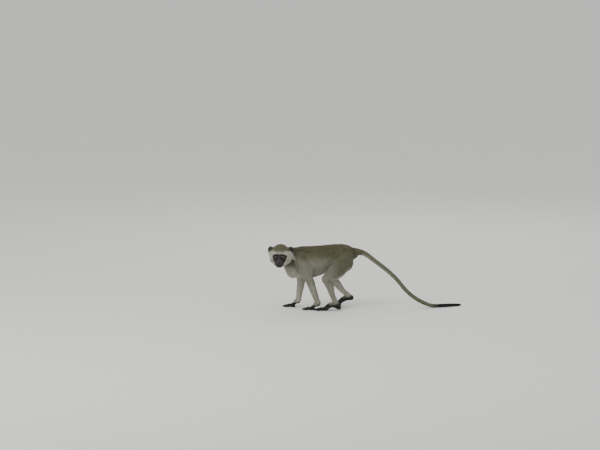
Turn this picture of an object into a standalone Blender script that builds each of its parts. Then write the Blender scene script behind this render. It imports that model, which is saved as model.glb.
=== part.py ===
"""A vervet monkey standing on all fours in mid-stride, its head turned to its left, as a life-size model.

The animal walks towards -X with +Z up, so its left side faces -Y. The body is fused from ellipsoids and
tapered limbs, then parted into its lengths by thin gaps. The outer surface is the tips of the coat.
"""

import math

import bmesh
import bpy
from mathutils import Matrix, Vector

# ---- Driving sizes, in metres ----
GAP = 0.0003              # the gap that parts two neighbouring pieces
FLOOR = 0.0               # the level that hands, feet and the end of the tail rest on
TRUNK_SQUEEZE = 0.66      # the trunk's width as a share of its depth
WRIST_WAY = Vector((0.14, 0.0, -1.0)).normalized()  # the way a wrist or ankle faces where it is parted
EYE_RADIUS = 0.0088
EYE_APART = 0.0310        # from one eye's centre to the other's
TAIL_PIECES = ("tail_root", "tail_upper", "tail_lower", "tail_tip")

BODY_VOXEL, HEAD_VOXEL, HAND_VOXEL = 0.0026, 0.0017, 0.0013
BODY_FACES, HEAD_FACES, HAND_FACES, EAR_FACES = 2200, 1350, 330, 110

# The trunk's centreline from breast to rump: (x, z, half depth).
TRUNK_LINE = (
    (-0.128, 0.214, 0.048),
    (-0.098, 0.212, 0.070),
    (-0.050, 0.215, 0.0765),
    (0.000, 0.226, 0.0700),
    (0.048, 0.2405, 0.0580),
    (0.100, 0.2460, 0.0560),
    (0.136, 0.2500, 0.0430),
    (0.154, 0.2530, 0.0240),
)
# Rounded masses on the trunk: (centre, half sizes).
TRUNK_MASSES = {
    "belly": ((0.004, 0.0, 0.2170), (0.066, 0.0480, 0.0560)),
    "rump": ((0.112, 0.0, 0.2500), (0.046, 0.0500, 0.0480)),
    "withers": ((-0.078, 0.0, 0.2480), (0.060, 0.0360, 0.0420)),
    "breast": ((-0.125, 0.0, 0.1900), (0.037, 0.0370, 0.0510)),
}
NECK_LINE = (
    (-0.085, 0.000, 0.2380, 0.0450),
    (-0.125, 0.004, 0.2380, 0.0430),
    (-0.158, 0.000, 0.2380, 0.0410),
    (-0.180, -0.016, 0.2400, 0.0380),
)

# The head's own frame: across (+ to its right side), forward (the way it looks) and up.
HEAD_PLACE = Vector((-0.1817, -0.058, 0.2530))
HEAD_FORWARD = Vector((-0.13, -1.0, -0.05)).normalized()

BLADE_LEAN = math.radians(-16)  # the shoulder blades lean in towards the spine

# One side of the body's joints, as (x, distance from the midplane, z).
ARM_LEFT = {
    "shoulder": (-0.0910, 0.041, 0.2270),
    "elbow": (-0.0437, 0.056, 0.1270),
    "wrist": (-0.0100, 0.047, 0.0310),
}
ARM_RIGHT = {
    "shoulder": (-0.1070, 0.041, 0.2270),
    "elbow": (-0.0860, 0.056, 0.1200),
    "wrist": (-0.1000, 0.048, 0.0310),
}
LEG_LEFT = {
    "hip": (0.1150, 0.040, 0.2380),
    "knee": (0.0270, 0.068, 0.1440),
    "ankle": (0.0720, 0.068, 0.0340),
}
LEG_RIGHT = {
    "hip": (0.1150, 0.040, 0.2380),
    "knee": (0.0500, 0.066, 0.1290),
    "ankle": (0.1320, 0.062, 0.0480),
}
HEEL_LIFT_LEFT, HEEL_LIFT_RIGHT = 0.0, 0.026

TAIL_LINE = (
    (0.130, 0.000, 0.2700, 0.0150),
    (0.160, 0.000, 0.2700, 0.0148),
    (0.207, 0.000, 0.2535, 0.0128),
    (0.253, -0.001, 0.2200, 0.0116),
    (0.290, -0.002, 0.1920, 0.0112),
    (0.330, -0.003, 0.1590, 0.0110),
    (0.360, -0.004, 0.1280, 0.0108),
    (0.384, -0.004, 0.0980, 0.0106),
    (0.410, -0.003, 0.0710, 0.0105),
    (0.442, 0.000, 0.0460, 0.0103),
    (0.480, 0.006, 0.0240, 0.0101),
    (0.520, 0.015, 0.0098, 0.0100),
    (0.565, 0.029, 0.0086, 0.0095),
    (0.610, 0.047, 0.0080, 0.0086),
    (0.645, 0.066, 0.0066, 0.0072),
    (0.658, 0.075, 0.0052, 0.0050),
)
TAIL_CUTS = (0.246, 0.368, 0.500)  # the x at which the tail's lengths meet

TAIL_REGION = (
    (0.168, 0.268, 0.020),
    (0.330, 0.160, 0.030),
    (0.520, 0.012, 0.030),
    (0.660, 0.006, 0.030),
)
REGION_REACH = 0.130      # how far to the side a region reaches

FINISHES = {  # (linear colour, roughness)
    "olive_coat": ((0.242, 0.206, 0.119), 0.9),
    "grey_coat": ((0.319, 0.308, 0.254), 0.9),
    "pale_coat": ((0.604, 0.584, 0.508), 0.9),
    "black_coat": ((0.010, 0.010, 0.010), 0.8),
    "dark_skin": ((0.015, 0.013, 0.013), 0.5),
    "eye": ((0.033, 0.010, 0.003), 0.08),
}
FINISH_OF = (  # the first name that a piece's own name starts with sets its finish
    ("eye", "eye"),
    ("ear", "dark_skin"),
    ("hand", "black_coat"),
    ("foot", "black_coat"),
    ("tail_tip", "black_coat"),
    ("tail", "grey_coat"),
    ("forearm", "grey_coat"),
    ("shank", "grey_coat"),
    ("upper_arm", "grey_coat"),
    ("thigh", "grey_coat"),
    ("belly", "pale_coat"),
    ("", "olive_coat"),
)


# ---- Modelling tools ----
def clear_scene():
    """Empties the scene and makes the collection that holds the model."""
    for item in list(bpy.data.objects):
        bpy.data.objects.remove(item)
    model = bpy.data.collections.new("vervet_monkey")
    bpy.context.scene.collection.children.link(model)
    layer = bpy.context.view_layer.layer_collection.children[model.name]
    bpy.context.view_layer.active_layer_collection = layer


def make_materials():
    """One Principled material for each finish, by name."""
    made = {}
    for name, (colour, roughness) in FINISHES.items():
        material = bpy.data.materials.new(name)
        material.use_nodes = True
        shader = material.node_tree.nodes["Principled BSDF"]
        shader.inputs["Base Color"].default_value = (*colour, 1.0)
        shader.inputs["Roughness"].default_value = roughness
        shader.inputs["Metallic"].default_value = 0.0
        made[name] = material
    return made


def applied(item):
    """The object with its modifiers and its place worked into a plain mesh."""
    bpy.context.view_layer.update()
    graph = bpy.context.evaluated_depsgraph_get()
    mesh = bpy.data.meshes.new_from_object(item.evaluated_get(graph), depsgraph=graph)
    mesh.transform(item.matrix_world)
    name = item.name
    bpy.data.objects.remove(item)
    plain = bpy.data.objects.new(name, mesh)
    bpy.context.collection.objects.link(plain)
    return plain


def ball(centre, half, turn=None, segments=28):
    """An ellipsoid with its half sizes along x, y and z, turned by a rotation matrix if one is given."""
    bpy.ops.mesh.primitive_uv_sphere_add(segments=segments, ring_count=segments * 2 // 3, radius=1.0)
    item = bpy.context.object
    place = Matrix.Translation(centre) @ (turn.to_4x4() if turn else Matrix.Identity(4))
    item.matrix_world = place @ Matrix.Diagonal((*half, 1.0))
    return applied(item)


def limb(line, squeeze=1.0):
    """A round-ended tapered tube along points (x, y, z, radius); squeeze narrows it across y."""
    curve = bpy.data.curves.new("limb", "CURVE")
    curve.dimensions = "3D"
    curve.bevel_depth = 1.0
    curve.bevel_resolution = 5
    curve.resolution_u = 8
    curve.use_fill_caps = True
    spline = curve.splines.new("BEZIER")
    spline.bezier_points.add(len(line) - 1)
    for point, (x, y, z, radius) in zip(spline.bezier_points, line):
        point.co = (x, y, z)
        point.radius = radius
        point.handle_left_type = point.handle_right_type = "AUTO"
    item = bpy.data.objects.new("limb", curve)
    bpy.context.collection.objects.link(item)
    item.matrix_world = Matrix.Diagonal((1.0, squeeze, 1.0, 1.0))
    ends = [ball((x, y * squeeze, z), (r, r * squeeze, r)) for x, y, z, r in (line[0], line[-1])]
    return [applied(item), *ends]


def joined(items, name):
    """Several objects as one object, not yet fused."""
    form = bmesh.new()
    for item in items:
        form.from_mesh(item.data)
    mesh = bpy.data.meshes.new(name)
    form.to_mesh(mesh)
    form.free()
    for item in items:
        bpy.data.objects.remove(item)
    made = bpy.data.objects.new(name, mesh)
    bpy.context.collection.objects.link(made)
    return made


def fused(items, name, voxel, smoothing, faces):
    """Overlapping masses made one smooth skin, thinned to about this many triangles."""
    form = joined(items, name)
    remesh = form.modifiers.new("fuse", "REMESH")
    remesh.mode = "VOXEL"
    remesh.voxel_size = voxel
    soften = form.modifiers.new("soften", "SMOOTH")
    soften.factor = 0.5
    soften.iterations = smoothing
    form = applied(form)
    triangles = sum(len(face.vertices) - 2 for face in form.data.polygons)
    thin = form.modifiers.new("thin", "DECIMATE")
    thin.ratio = min(1.0, faces / triangles)
    thin.use_collapse_triangulate = True
    return applied(form)


def copy_of(item, name):
    """A second object with a mesh of its own."""
    made = bpy.data.objects.new(name, item.data.copy())
    bpy.context.collection.objects.link(made)
    return made


def grown(item, by):
    """A copy whose surface stands this far out from the original."""
    made = copy_of(item, item.name + "_grown")
    push = made.modifiers.new("push", "DISPLACE")
    push.strength = by
    push.mid_level = 0.0
    return applied(made)


def largest_body(item):
    """Drops the loose crumbs that a cut can leave, keeping the body with the most faces."""
    form = bmesh.new()
    form.from_mesh(item.data)
    unseen = set(form.verts)
    bodies = []
    while unseen:
        body, edge = set(), {unseen.pop()}
        while edge:
            vert = edge.pop()
            body.add(vert)
            near = {link.other_vert(vert) for link in vert.link_edges}
            edge |= near & unseen
            unseen -= near
        bodies.append(body)
    bodies.sort(key=len)
    for crumb in bodies[:-1]:
        bmesh.ops.delete(form, geom=list(crumb), context="VERTS")
    form.to_mesh(item.data)
    form.free()
    return item


def cut_by(item, cutter, keep_cutter=False):
    """The item with the cutter's space taken out of it."""
    boolean = item.modifiers.new("cut", "BOOLEAN")
    boolean.operation = "DIFFERENCE"
    boolean.object = cutter
    item = largest_body(applied(item))
    if not keep_cutter:
        bpy.data.objects.remove(cutter)
    return item


def trimmed(item, point, normal):
    """The item with all that lies beyond a plane cut off and the cut closed flat."""
    form = bmesh.new()
    form.from_mesh(item.data)
    geometry = form.verts[:] + form.edges[:] + form.faces[:]
    cut = bmesh.ops.bisect_plane(
        form, geom=geometry, dist=1e-6, plane_co=point, plane_no=normal, clear_outer=True
    )
    rim = [part for part in cut["geom_cut"] if isinstance(part, bmesh.types.BMEdge)]
    bmesh.ops.triangle_fill(form, edges=rim, use_beauty=True, normal=normal)
    bmesh.ops.remove_doubles(form, verts=form.verts, dist=1e-5)
    bmesh.ops.recalc_face_normals(form, faces=form.faces)
    form.to_mesh(item.data)
    form.free()
    return largest_body(item)


def parted(item, point, normal, names):
    """The pieces behind and beyond a plane, with the gap between them."""
    point, normal = Vector(point), Vector(normal).normalized()
    beyond = trimmed(copy_of(item, names[1]), point + normal * GAP / 2, -normal)
    behind = trimmed(copy_of(item, names[0]), point - normal * GAP / 2, normal)
    bpy.data.objects.remove(item)
    return behind, beyond


def region(circles, inner, side, spread=0.0):
    """A convex prism across the body around some circles (x, z, radius).

    Its inner face follows inner(z) as a distance from the midplane; spread moves every wall outwards.
    """
    form = bmesh.new()
    for x, z, radius in circles:
        for k in range(20):
            angle = math.tau * k / 20
            px = x + (radius + spread) * math.cos(angle)
            pz = z + (radius + spread) * math.sin(angle)
            for y in (inner(pz) - spread, REGION_REACH + spread):
                form.verts.new((px, side * y, pz))
    hull = bmesh.ops.convex_hull(form, input=form.verts)
    spare = set(hull["geom_interior"]) | set(hull["geom_unused"])
    inner_verts = [item for item in spare if isinstance(item, bmesh.types.BMVert)]
    bmesh.ops.delete(form, geom=inner_verts, context="VERTS")
    bmesh.ops.recalc_face_normals(form, faces=form.faces)
    mesh = bpy.data.meshes.new("region")
    form.to_mesh(mesh)
    form.free()
    made = bpy.data.objects.new("region", mesh)
    bpy.context.collection.objects.link(made)
    return made


def taken(body, circles, inner, side, name):
    """The part of the body inside a region, and the rest of the body a gap away from it."""
    inside = region(circles, inner, side)
    part = copy_of(body, name)
    boolean = part.modifiers.new("keep", "BOOLEAN")
    boolean.operation = "INTERSECT"
    boolean.object = inside
    part = largest_body(applied(part))
    bpy.data.objects.remove(inside)
    return part, cut_by(body, region(circles, inner, side, GAP))


def between(a, b, share):
    """The point that lies this share of the way from a to b."""
    return tuple(p + (q - p) * share for p, q in zip(a, b))


def on_side(point, side):
    """A joint given by its distance from the midplane, placed on the left (-1) or right (+1) side."""
    return (point[0], point[1] * side, point[2])


def aimed(direction, roll=(0.0, 1.0, 0.0)):
    """A rotation whose local x runs along direction and whose local y keeps near roll."""
    along = Vector(direction).normalized()
    up = along.cross(Vector(roll)).normalized()
    return Matrix((along, up.cross(along), up)).transposed()


def limb_inner(z):
    """How far from the midplane a limb begins at this height: close in below, further out above."""
    return max(0.006, 0.011 + (z - 0.150) * 0.20)


def tail_inner(z):
    """The tail's region spans the midplane."""
    return -0.030


# ---- The trunk, neck and tail ----
def trunk_masses():
    """Trunk and neck."""
    line = [(x, 0.0, z, depth) for x, z, depth in TRUNK_LINE]
    masses = limb(line, TRUNK_SQUEEZE) + limb(NECK_LINE, 0.92)
    return masses + [ball(centre, half) for centre, half in TRUNK_MASSES.values()]


def part_trunk(trunk, head_space, ears):
    """Neck, chest, belly and rump, with the neck trimmed to meet the head and ears."""
    neck, trunk = parted(trunk, (-0.118, 0.0, 0.235), (1.0, 0.0, -0.25), ("neck", "trunk"))
    chest, trunk = parted(trunk, (-0.012, 0.0, 0.23), (1.0, 0.0, -0.18), ("chest", "trunk"))
    belly, rump = parted(trunk, (0.070, 0.0, 0.24), (1.0, 0.0, 0.20), ("belly", "rump"))
    for space in (head_space, *[grown(ear, GAP) for ear in ears]):
        neck = cut_by(neck, space)
    return [neck, chest, belly, rump]


def part_tail(tail):
    """The tail in four lengths, the last of which lies on the floor."""
    tail = trimmed(tail, (0.0, 0.0, FLOOR), (0.0, 0.0, -1.0))
    pieces = []
    for name, x in zip(TAIL_PIECES, TAIL_CUTS):
        spots = [Vector(point[:3]) for point in TAIL_LINE]
        after = next(i for i, spot in enumerate(spots) if spot.x > x)
        before, behind = spots[after - 1], spots[after]
        spot = before.lerp(behind, (x - before.x) / (behind.x - before.x))
        piece, tail = parted(tail, spot, behind - before, (name, "tail"))
        pieces.append(piece)
    tail.name = TAIL_PIECES[-1]
    return [*pieces, tail]


# ---- Limbs ----
def placed(joints, side):
    """A limb's joints on one side of the body, from the root outwards."""
    return [Vector(on_side(point, side)) for point in joints.values()]


def arm_masses(joints, side):
    """Shoulder, upper arm and forearm."""
    shoulder, elbow, wrist = placed(joints, side)
    upper = [
        (*(shoulder + Vector((-0.004, 0, 0.012))), 0.030),
        (*between(shoulder, elbow, 0.45), 0.0265),
        (*between(shoulder, elbow, 0.80), 0.0215),
        (*elbow, 0.0190),
    ]
    lower = [
        (*elbow, 0.0190),
        (*between(elbow, wrist, 0.28), 0.0180),
        (*between(elbow, wrist, 0.65), 0.0148),
        (*wrist, 0.0128),
        (*(wrist + (wrist - elbow).normalized() * 0.012), 0.0125),
    ]
    blade_place = shoulder + Vector((0.013, -side * 0.010, 0.010))
    blade = ball(blade_place, (0.041, 0.019, 0.046), Matrix.Rotation(-side * BLADE_LEAN, 3, "X"))
    triceps_place = Vector(between(shoulder, elbow, 0.42)) + Vector((0.014, 0.0, 0.006))
    triceps = ball(triceps_place, (0.044, 0.0170, 0.0210), aimed(elbow - shoulder))
    elbow_point = ball(elbow + Vector((0.007, 0.0, 0.004)), (0.014, 0.0125, 0.0150))
    return [*limb(upper), *limb(lower), blade, triceps, elbow_point]


def part_arm(body, joints, side, label):
    """Upper arm and forearm, parted at the elbow and stopped at the wrist; and the rest of the body."""
    shoulder, elbow, wrist = placed(joints, side)
    top = shoulder + Vector((0.010, 0.0, 0.004))
    circles = [(top.x, top.z, 0.046), (elbow.x, elbow.z, 0.034), (wrist.x, wrist.z - 0.02, 0.030)]
    arm, body = taken(body, circles, limb_inner, side, "arm")
    arm = trimmed(arm, wrist - WRIST_WAY * GAP / 2, WRIST_WAY)
    elbow_way = (elbow - shoulder).normalized() + (wrist - elbow).normalized()
    names = ("upper_arm_" + label, "forearm_" + label)
    return list(parted(arm, elbow - elbow_way * 0.004, elbow_way, names)), body


def leg_masses(joints, side):
    """Haunch, thigh and shank."""
    hip, knee, ankle = placed(joints, side)
    thigh_way, shank_way = (knee - hip).normalized(), (ankle - knee).normalized()
    lower = [
        (*knee, 0.0205),
        (*(Vector(between(knee, ankle, 0.28)) - thigh_way * 0.005), 0.0200),
        (*between(knee, ankle, 0.62), 0.0142),
        (*between(knee, ankle, 0.90), 0.0120),
        (*(ankle + shank_way * 0.014), 0.0120),
    ]
    upper = [
        (*hip, 0.0300),
        (*between(hip, knee, 0.5), 0.0300),
        (*between(hip, knee, 0.8), 0.0235),
        (*knee, 0.0205),
    ]
    masses = [*limb(upper), *limb(lower)]
    middle = Vector(between(hip, knee, 0.36))
    masses.append(ball(middle + Vector((0.004, 0.0, -0.008)), (0.070, 0.0265, 0.0420), aimed(thigh_way)))
    masses.append(ball(hip + Vector((0.004, side * 0.001, -0.018)), (0.036, 0.0220, 0.0450)))
    masses.append(ball(hip + Vector((-0.004, -side * 0.004, 0.010)), (0.045, 0.0200, 0.0340)))
    masses.append(ball(knee + Vector((-0.003, 0.0, 0.003)), (0.0180, 0.0175, 0.0200)))
    return masses


def part_leg(body, joints, side, label):
    """Thigh and shank, parted at the knee and stopped at the ankle; and the rest of the body."""
    hip, knee, ankle = placed(joints, side)
    thigh_way, shank_way = (knee - hip).normalized(), (ankle - knee).normalized()
    circles = [
        (hip.x + 0.002, hip.z - 0.013, 0.051),
        (knee.x, knee.z, 0.032),
        (ankle.x, ankle.z - 0.020, 0.030),
    ]
    leg, body = taken(body, circles, limb_inner, side, "leg")
    leg = trimmed(leg, ankle - WRIST_WAY * GAP / 2, WRIST_WAY)
    names = ("thigh_" + label, "shank_" + label)
    return list(parted(leg, knee + thigh_way * 0.002, thigh_way + shank_way, names)), body


def digit(root, tip, radius, arch):
    """A finger or toe that arches up from its root and comes down on its pad."""
    root, tip = Vector(root), Vector(tip)
    middle = root.lerp(tip, 0.45) + Vector((0.0, 0.0, arch))
    near = root.lerp(tip, 0.80) + Vector((0.0, 0.0, arch * 0.25))
    return limb([(*root, radius * 1.12), (*middle, radius), (*near, radius * 0.94), (*tip, radius * 0.80)])


def make_hand(joints, side, label):
    """A hand flat on its fingers, the palm sloping up to the wrist."""
    shoulder, elbow, wrist = placed(joints, side)
    way = (wrist - elbow).normalized()
    palm_front = wrist + Vector((-0.033, side * 0.002, 0.0080 - wrist.z))
    heel_of_hand = wrist.lerp(palm_front, 0.35)
    masses = limb([(*(wrist - way * 0.010), 0.0128), (*wrist, 0.0128), (*heel_of_hand, 0.0115)])
    for k in range(4):
        across = (k - 1.5) * 0.0078
        knuckle = palm_front + Vector((0.003 * abs(k - 1.4), side * across, 0.0))
        start = wrist.lerp(palm_front, 0.18) + Vector((0.0, side * across * 0.62, 0.0))
        masses += limb([(*start, 0.0085), (*start.lerp(knuckle, 0.6), 0.0072), (*knuckle, 0.0062)])
        reach = (0.0320, 0.0375, 0.0365, 0.0305)[k]
        tip = knuckle + Vector((-reach, side * across * 0.45, 0.0034 - knuckle.z))
        masses += digit(knuckle, tip, 0.0046, 0.0022)
    thumb_root = wrist.lerp(palm_front, 0.30) + Vector((0.0, -side * 0.011, -0.004))
    thumb_tip = thumb_root + Vector((-0.016, -side * 0.011, 0.0032 - thumb_root.z))
    masses += digit(thumb_root, thumb_tip, 0.0042, 0.0030)
    masses.append(ball(palm_front + Vector((0.006, 0.0, -0.0015)), (0.0140, 0.0150, 0.0080)))
    hand = fused(masses, "hand_" + label, HAND_VOXEL, 3, HAND_FACES)
    hand = trimmed(hand, wrist + WRIST_WAY * GAP / 2, -WRIST_WAY)
    return trimmed(hand, (0.0, 0.0, FLOOR), (0.0, 0.0, -1.0))


def make_foot(joints, side, label, lift):
    """A long foot with a big toe that stands off; lift raises the heel."""
    hip, knee, ankle = placed(joints, side)
    way = (ankle - knee).normalized()
    heel = ankle + Vector((0.015, 0.0, 0.0130 + lift - ankle.z))
    ball_of_foot = Vector((ankle.x - 0.056, ankle.y + side * 0.002, 0.0085))
    back = [
        (*(ankle - way * 0.010), 0.0120),
        (*ankle, 0.0122),
        (*ankle.lerp(heel, 0.6), 0.0120),
        (*heel, 0.0105),
    ]
    instep = [
        (*heel, 0.0105),
        (*ankle.lerp(ball_of_foot, 0.3), 0.0135),
        (*ankle.lerp(ball_of_foot, 0.7), 0.0115),
    ]
    masses = limb(back) + limb(instep)
    for k in range(4):
        across = (k - 1.5) * 0.0080
        knuckle = ball_of_foot + Vector((0.004 * abs(k - 1.3), side * across, 0.0))
        start = ankle.lerp(ball_of_foot, 0.35) + Vector((0.0, side * across * 0.60, -0.002))
        masses += limb([(*start, 0.0090), (*start.lerp(knuckle, 0.6), 0.0075), (*knuckle, 0.0064)])
        reach = (0.0370, 0.0415, 0.0400, 0.0340)[k]
        tip = knuckle + Vector((-reach, side * across * 0.40, 0.0036 - knuckle.z))
        masses += digit(knuckle, tip, 0.0048, 0.0024)
    toe_root = ankle.lerp(ball_of_foot, 0.62) + Vector((0.0, -side * 0.010, -0.004))
    toe_tip = toe_root + Vector((-0.024, -side * 0.020, 0.0040 - toe_root.z))
    masses += digit(toe_root, toe_tip, 0.0054, 0.0030)
    masses.append(ball(ball_of_foot + Vector((0.008, 0.0, -0.0015)), (0.0170, 0.0160, 0.0085)))
    foot = fused(masses, "foot_" + label, HAND_VOXEL, 3, HAND_FACES)
    foot = trimmed(foot, ankle + WRIST_WAY * GAP / 2, -WRIST_WAY)
    return trimmed(foot, (0.0, 0.0, FLOOR), (0.0, 0.0, -1.0))


# ---- The head ----
def head_frame():
    """The matrix from the head's own frame (across, forward, up) to the model's."""
    across = HEAD_FORWARD.cross(Vector((0.0, 0.0, 1.0))).normalized()
    up = across.cross(HEAD_FORWARD)
    turn = Matrix((across, HEAD_FORWARD, up)).transposed()
    return Matrix.Translation(HEAD_PLACE) @ turn.to_4x4()


# Masses of the head in its own frame, in millimetres: (across, forward, up), (half sizes), tilt in degrees
# about the across axis. A mass off the midline is made on both sides.
HEAD_MASSES = {
    "cap": ((0, -9, 14), (44, 48, 40), 0),
    "forehead_fur": ((0, 18, 19), (35, 16, 15), 20),
    "brow_ridge": ((15, 26.5, 9.5), (16, 8.5, 6.5), 0),
    "temple": ((29, 12, 2), (12, 18, 18), 0),
    "cheekbone": ((24, 20, -11), (12, 14, 9), -20),
    "ruff": ((33, -3, -2), (26, 22, 33), -14),
    "ruff_below": ((22, 6, -25), (24, 24, 20), -10),
    "jaw": ((17, 18, -30), (13, 26, 15), 0),
    "muzzle": ((0, 37, -27), (21.5, 24, 17.5), -28),
    "upper_lip": ((8, 49.5, -31), (10, 10.5, 9), -20),
    "nose_bridge": ((0, 38, -10), (9.5, 24, 9.5), -42),
    "nose_tip": ((0, 57.5, -23), (8.0, 5.5, 6.0), -30),
    "chin": ((0, 43, -43), (15, 15, 9.5), 10),
    "throat": ((0, 6, -36), (27, 30, 17), 0),
    "nape": ((0, -27, -12), (36, 29, 32), 0),
}
EAR_PLACE = Vector((0.0455, -0.0060, 0.0230))
EAR_TILT = math.radians(24)
EYE_PLACE = Vector((EYE_APART / 2, 0.0262, -0.0020))


def make_head(frame):
    """The head and its two eyes."""
    masses = []
    for (across, forward, up), half, tilt in HEAD_MASSES.values():
        for side in (1, -1) if across else (1,):
            place = Vector((across * side, forward, up)) * 0.001
            turn = Matrix.Rotation(math.radians(tilt), 3, "X")
            masses.append(ball(place, Vector(half) * 0.001, turn))
    head = fused(masses, "head", HEAD_VOXEL, 5, HEAD_FACES)
    eyes = []
    for side, label in ((1, "right"), (-1, "left")):
        place = Vector((EYE_PLACE.x * side, EYE_PLACE.y, EYE_PLACE.z))
        head = cut_by(head, ball(place, [EYE_RADIUS + GAP] * 3, segments=16))
        eye = ball(place, [EYE_RADIUS] * 3, segments=16)
        eye.name = "eye_" + label
        eyes.append(eye)
    for item in (head, *eyes):
        item.data.transform(frame)
    return head, eyes


def make_ear(frame, side, label, head_space):
    """A cupped round ear, trimmed where it meets the head."""
    shell = ball((0, 0, 0), (0.0155, 0.0075, 0.0195))
    hollow = ball((0.003, 0.0075, 0.0), (0.0115, 0.0068, 0.0148))
    ear = cut_by(shell, hollow)
    ear = fused([ear], "ear_" + label, HEAD_VOXEL * 0.7, 2, EAR_FACES)
    turn = Matrix.Rotation(-EAR_TILT * side, 4, "Z")
    flip = Matrix.Diagonal((side, 1.0, 1.0, 1.0))
    place = Vector((EAR_PLACE.x * side, EAR_PLACE.y, EAR_PLACE.z))
    ear.data.transform(frame @ Matrix.Translation(place) @ turn @ flip)
    if side < 0:
        ear.data.flip_normals()
    return cut_by(ear, head_space, keep_cutter=True)


# ---- The whole animal ----
def dress(parts, finishes):
    """Gives each piece its finish and smooth shading."""
    for part in parts:
        finish = next(finish for start, finish in FINISH_OF if part.name.startswith(start))
        part.data.materials.clear()
        part.data.materials.append(finishes[finish])
        part.data.shade_smooth()


def centre_on_floor(parts):
    """Moves the model so that the middle of its floor plan is the origin."""
    corners = [vert.co for part in parts for vert in part.data.vertices]
    middle = [(min(c[i] for c in corners) + max(c[i] for c in corners)) / 2 for i in (0, 1)]
    for part in parts:
        part.data.transform(Matrix.Translation((-middle[0], -middle[1], 0.0)))


def main():
    """Builds the monkey."""
    clear_scene()
    finishes = make_materials()
    frame = head_frame()
    head, eyes = make_head(frame)
    head_space = grown(head, GAP)
    ears = [make_ear(frame, side, label, head_space) for side, label in ((1, "right"), (-1, "left"))]
    sides = (
        (ARM_LEFT, LEG_LEFT, -1, "left", HEEL_LIFT_LEFT),
        (ARM_RIGHT, LEG_RIGHT, 1, "right", HEEL_LIFT_RIGHT),
    )
    masses = trunk_masses() + limb(TAIL_LINE)
    for arm, leg, side, *rest in sides:
        masses += arm_masses(arm, side) + leg_masses(leg, side)
    body = fused(masses, "body", BODY_VOXEL, 8, BODY_FACES)
    pieces = []
    for arm, leg, side, label, lift in sides:
        arm_pieces, body = part_arm(body, arm, side, label)
        leg_pieces, body = part_leg(body, leg, side, label)
        pieces += [*arm_pieces, make_hand(arm, side, label), *leg_pieces, make_foot(leg, side, label, lift)]
    tail, body = taken(body, TAIL_REGION, tail_inner, 1, "tail")
    parts = [head, *eyes, *ears, *part_trunk(body, head_space, ears), *pieces, *part_tail(tail)]
    centre_on_floor(parts)
    dress(parts, finishes)


main()
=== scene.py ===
"""The looks of a life-size vervet monkey: skin, eyes, nails and coat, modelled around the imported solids.

The solids give the outline out to the tips of the coat. One skin lies inside them by the coat's depth, and the
coat is solid tufts that grow from that skin and follow the lie of the hair.
"""

from __future__ import annotations

import logging
import math
from dataclasses import dataclass, field
from enum import Enum
from typing import Callable, Iterable, Sequence

import bmesh
import bpy
import numpy as np
from mathutils import Matrix, Vector
from mathutils.bvhtree import BVHTree
from mathutils.kdtree import KDTree


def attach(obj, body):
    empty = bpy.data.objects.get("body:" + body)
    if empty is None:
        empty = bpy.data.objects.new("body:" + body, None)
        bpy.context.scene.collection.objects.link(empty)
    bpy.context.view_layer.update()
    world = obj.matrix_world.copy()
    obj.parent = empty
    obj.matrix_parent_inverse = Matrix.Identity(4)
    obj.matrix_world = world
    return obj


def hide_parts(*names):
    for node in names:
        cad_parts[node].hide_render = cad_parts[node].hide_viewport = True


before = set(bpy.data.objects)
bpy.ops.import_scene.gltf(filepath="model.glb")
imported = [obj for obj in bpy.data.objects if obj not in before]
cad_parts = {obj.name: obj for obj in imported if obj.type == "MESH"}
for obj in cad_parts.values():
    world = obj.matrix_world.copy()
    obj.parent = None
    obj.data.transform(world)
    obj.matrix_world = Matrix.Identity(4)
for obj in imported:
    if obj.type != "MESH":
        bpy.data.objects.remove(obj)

log = logging.getLogger("vervet")
Array = np.ndarray
Point = tuple[float, float, float]

MM = 0.001
FLESH = (
    "head", "neck", "chest", "belly", "rump", "ear_left", "ear_right",
    "upper_arm_left", "forearm_left", "hand_left", "upper_arm_right", "forearm_right", "hand_right",
    "thigh_left", "shank_left", "foot_left", "thigh_right", "shank_right", "foot_right",
    "tail_root", "tail_upper", "tail_lower", "tail_tip",
)


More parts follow.
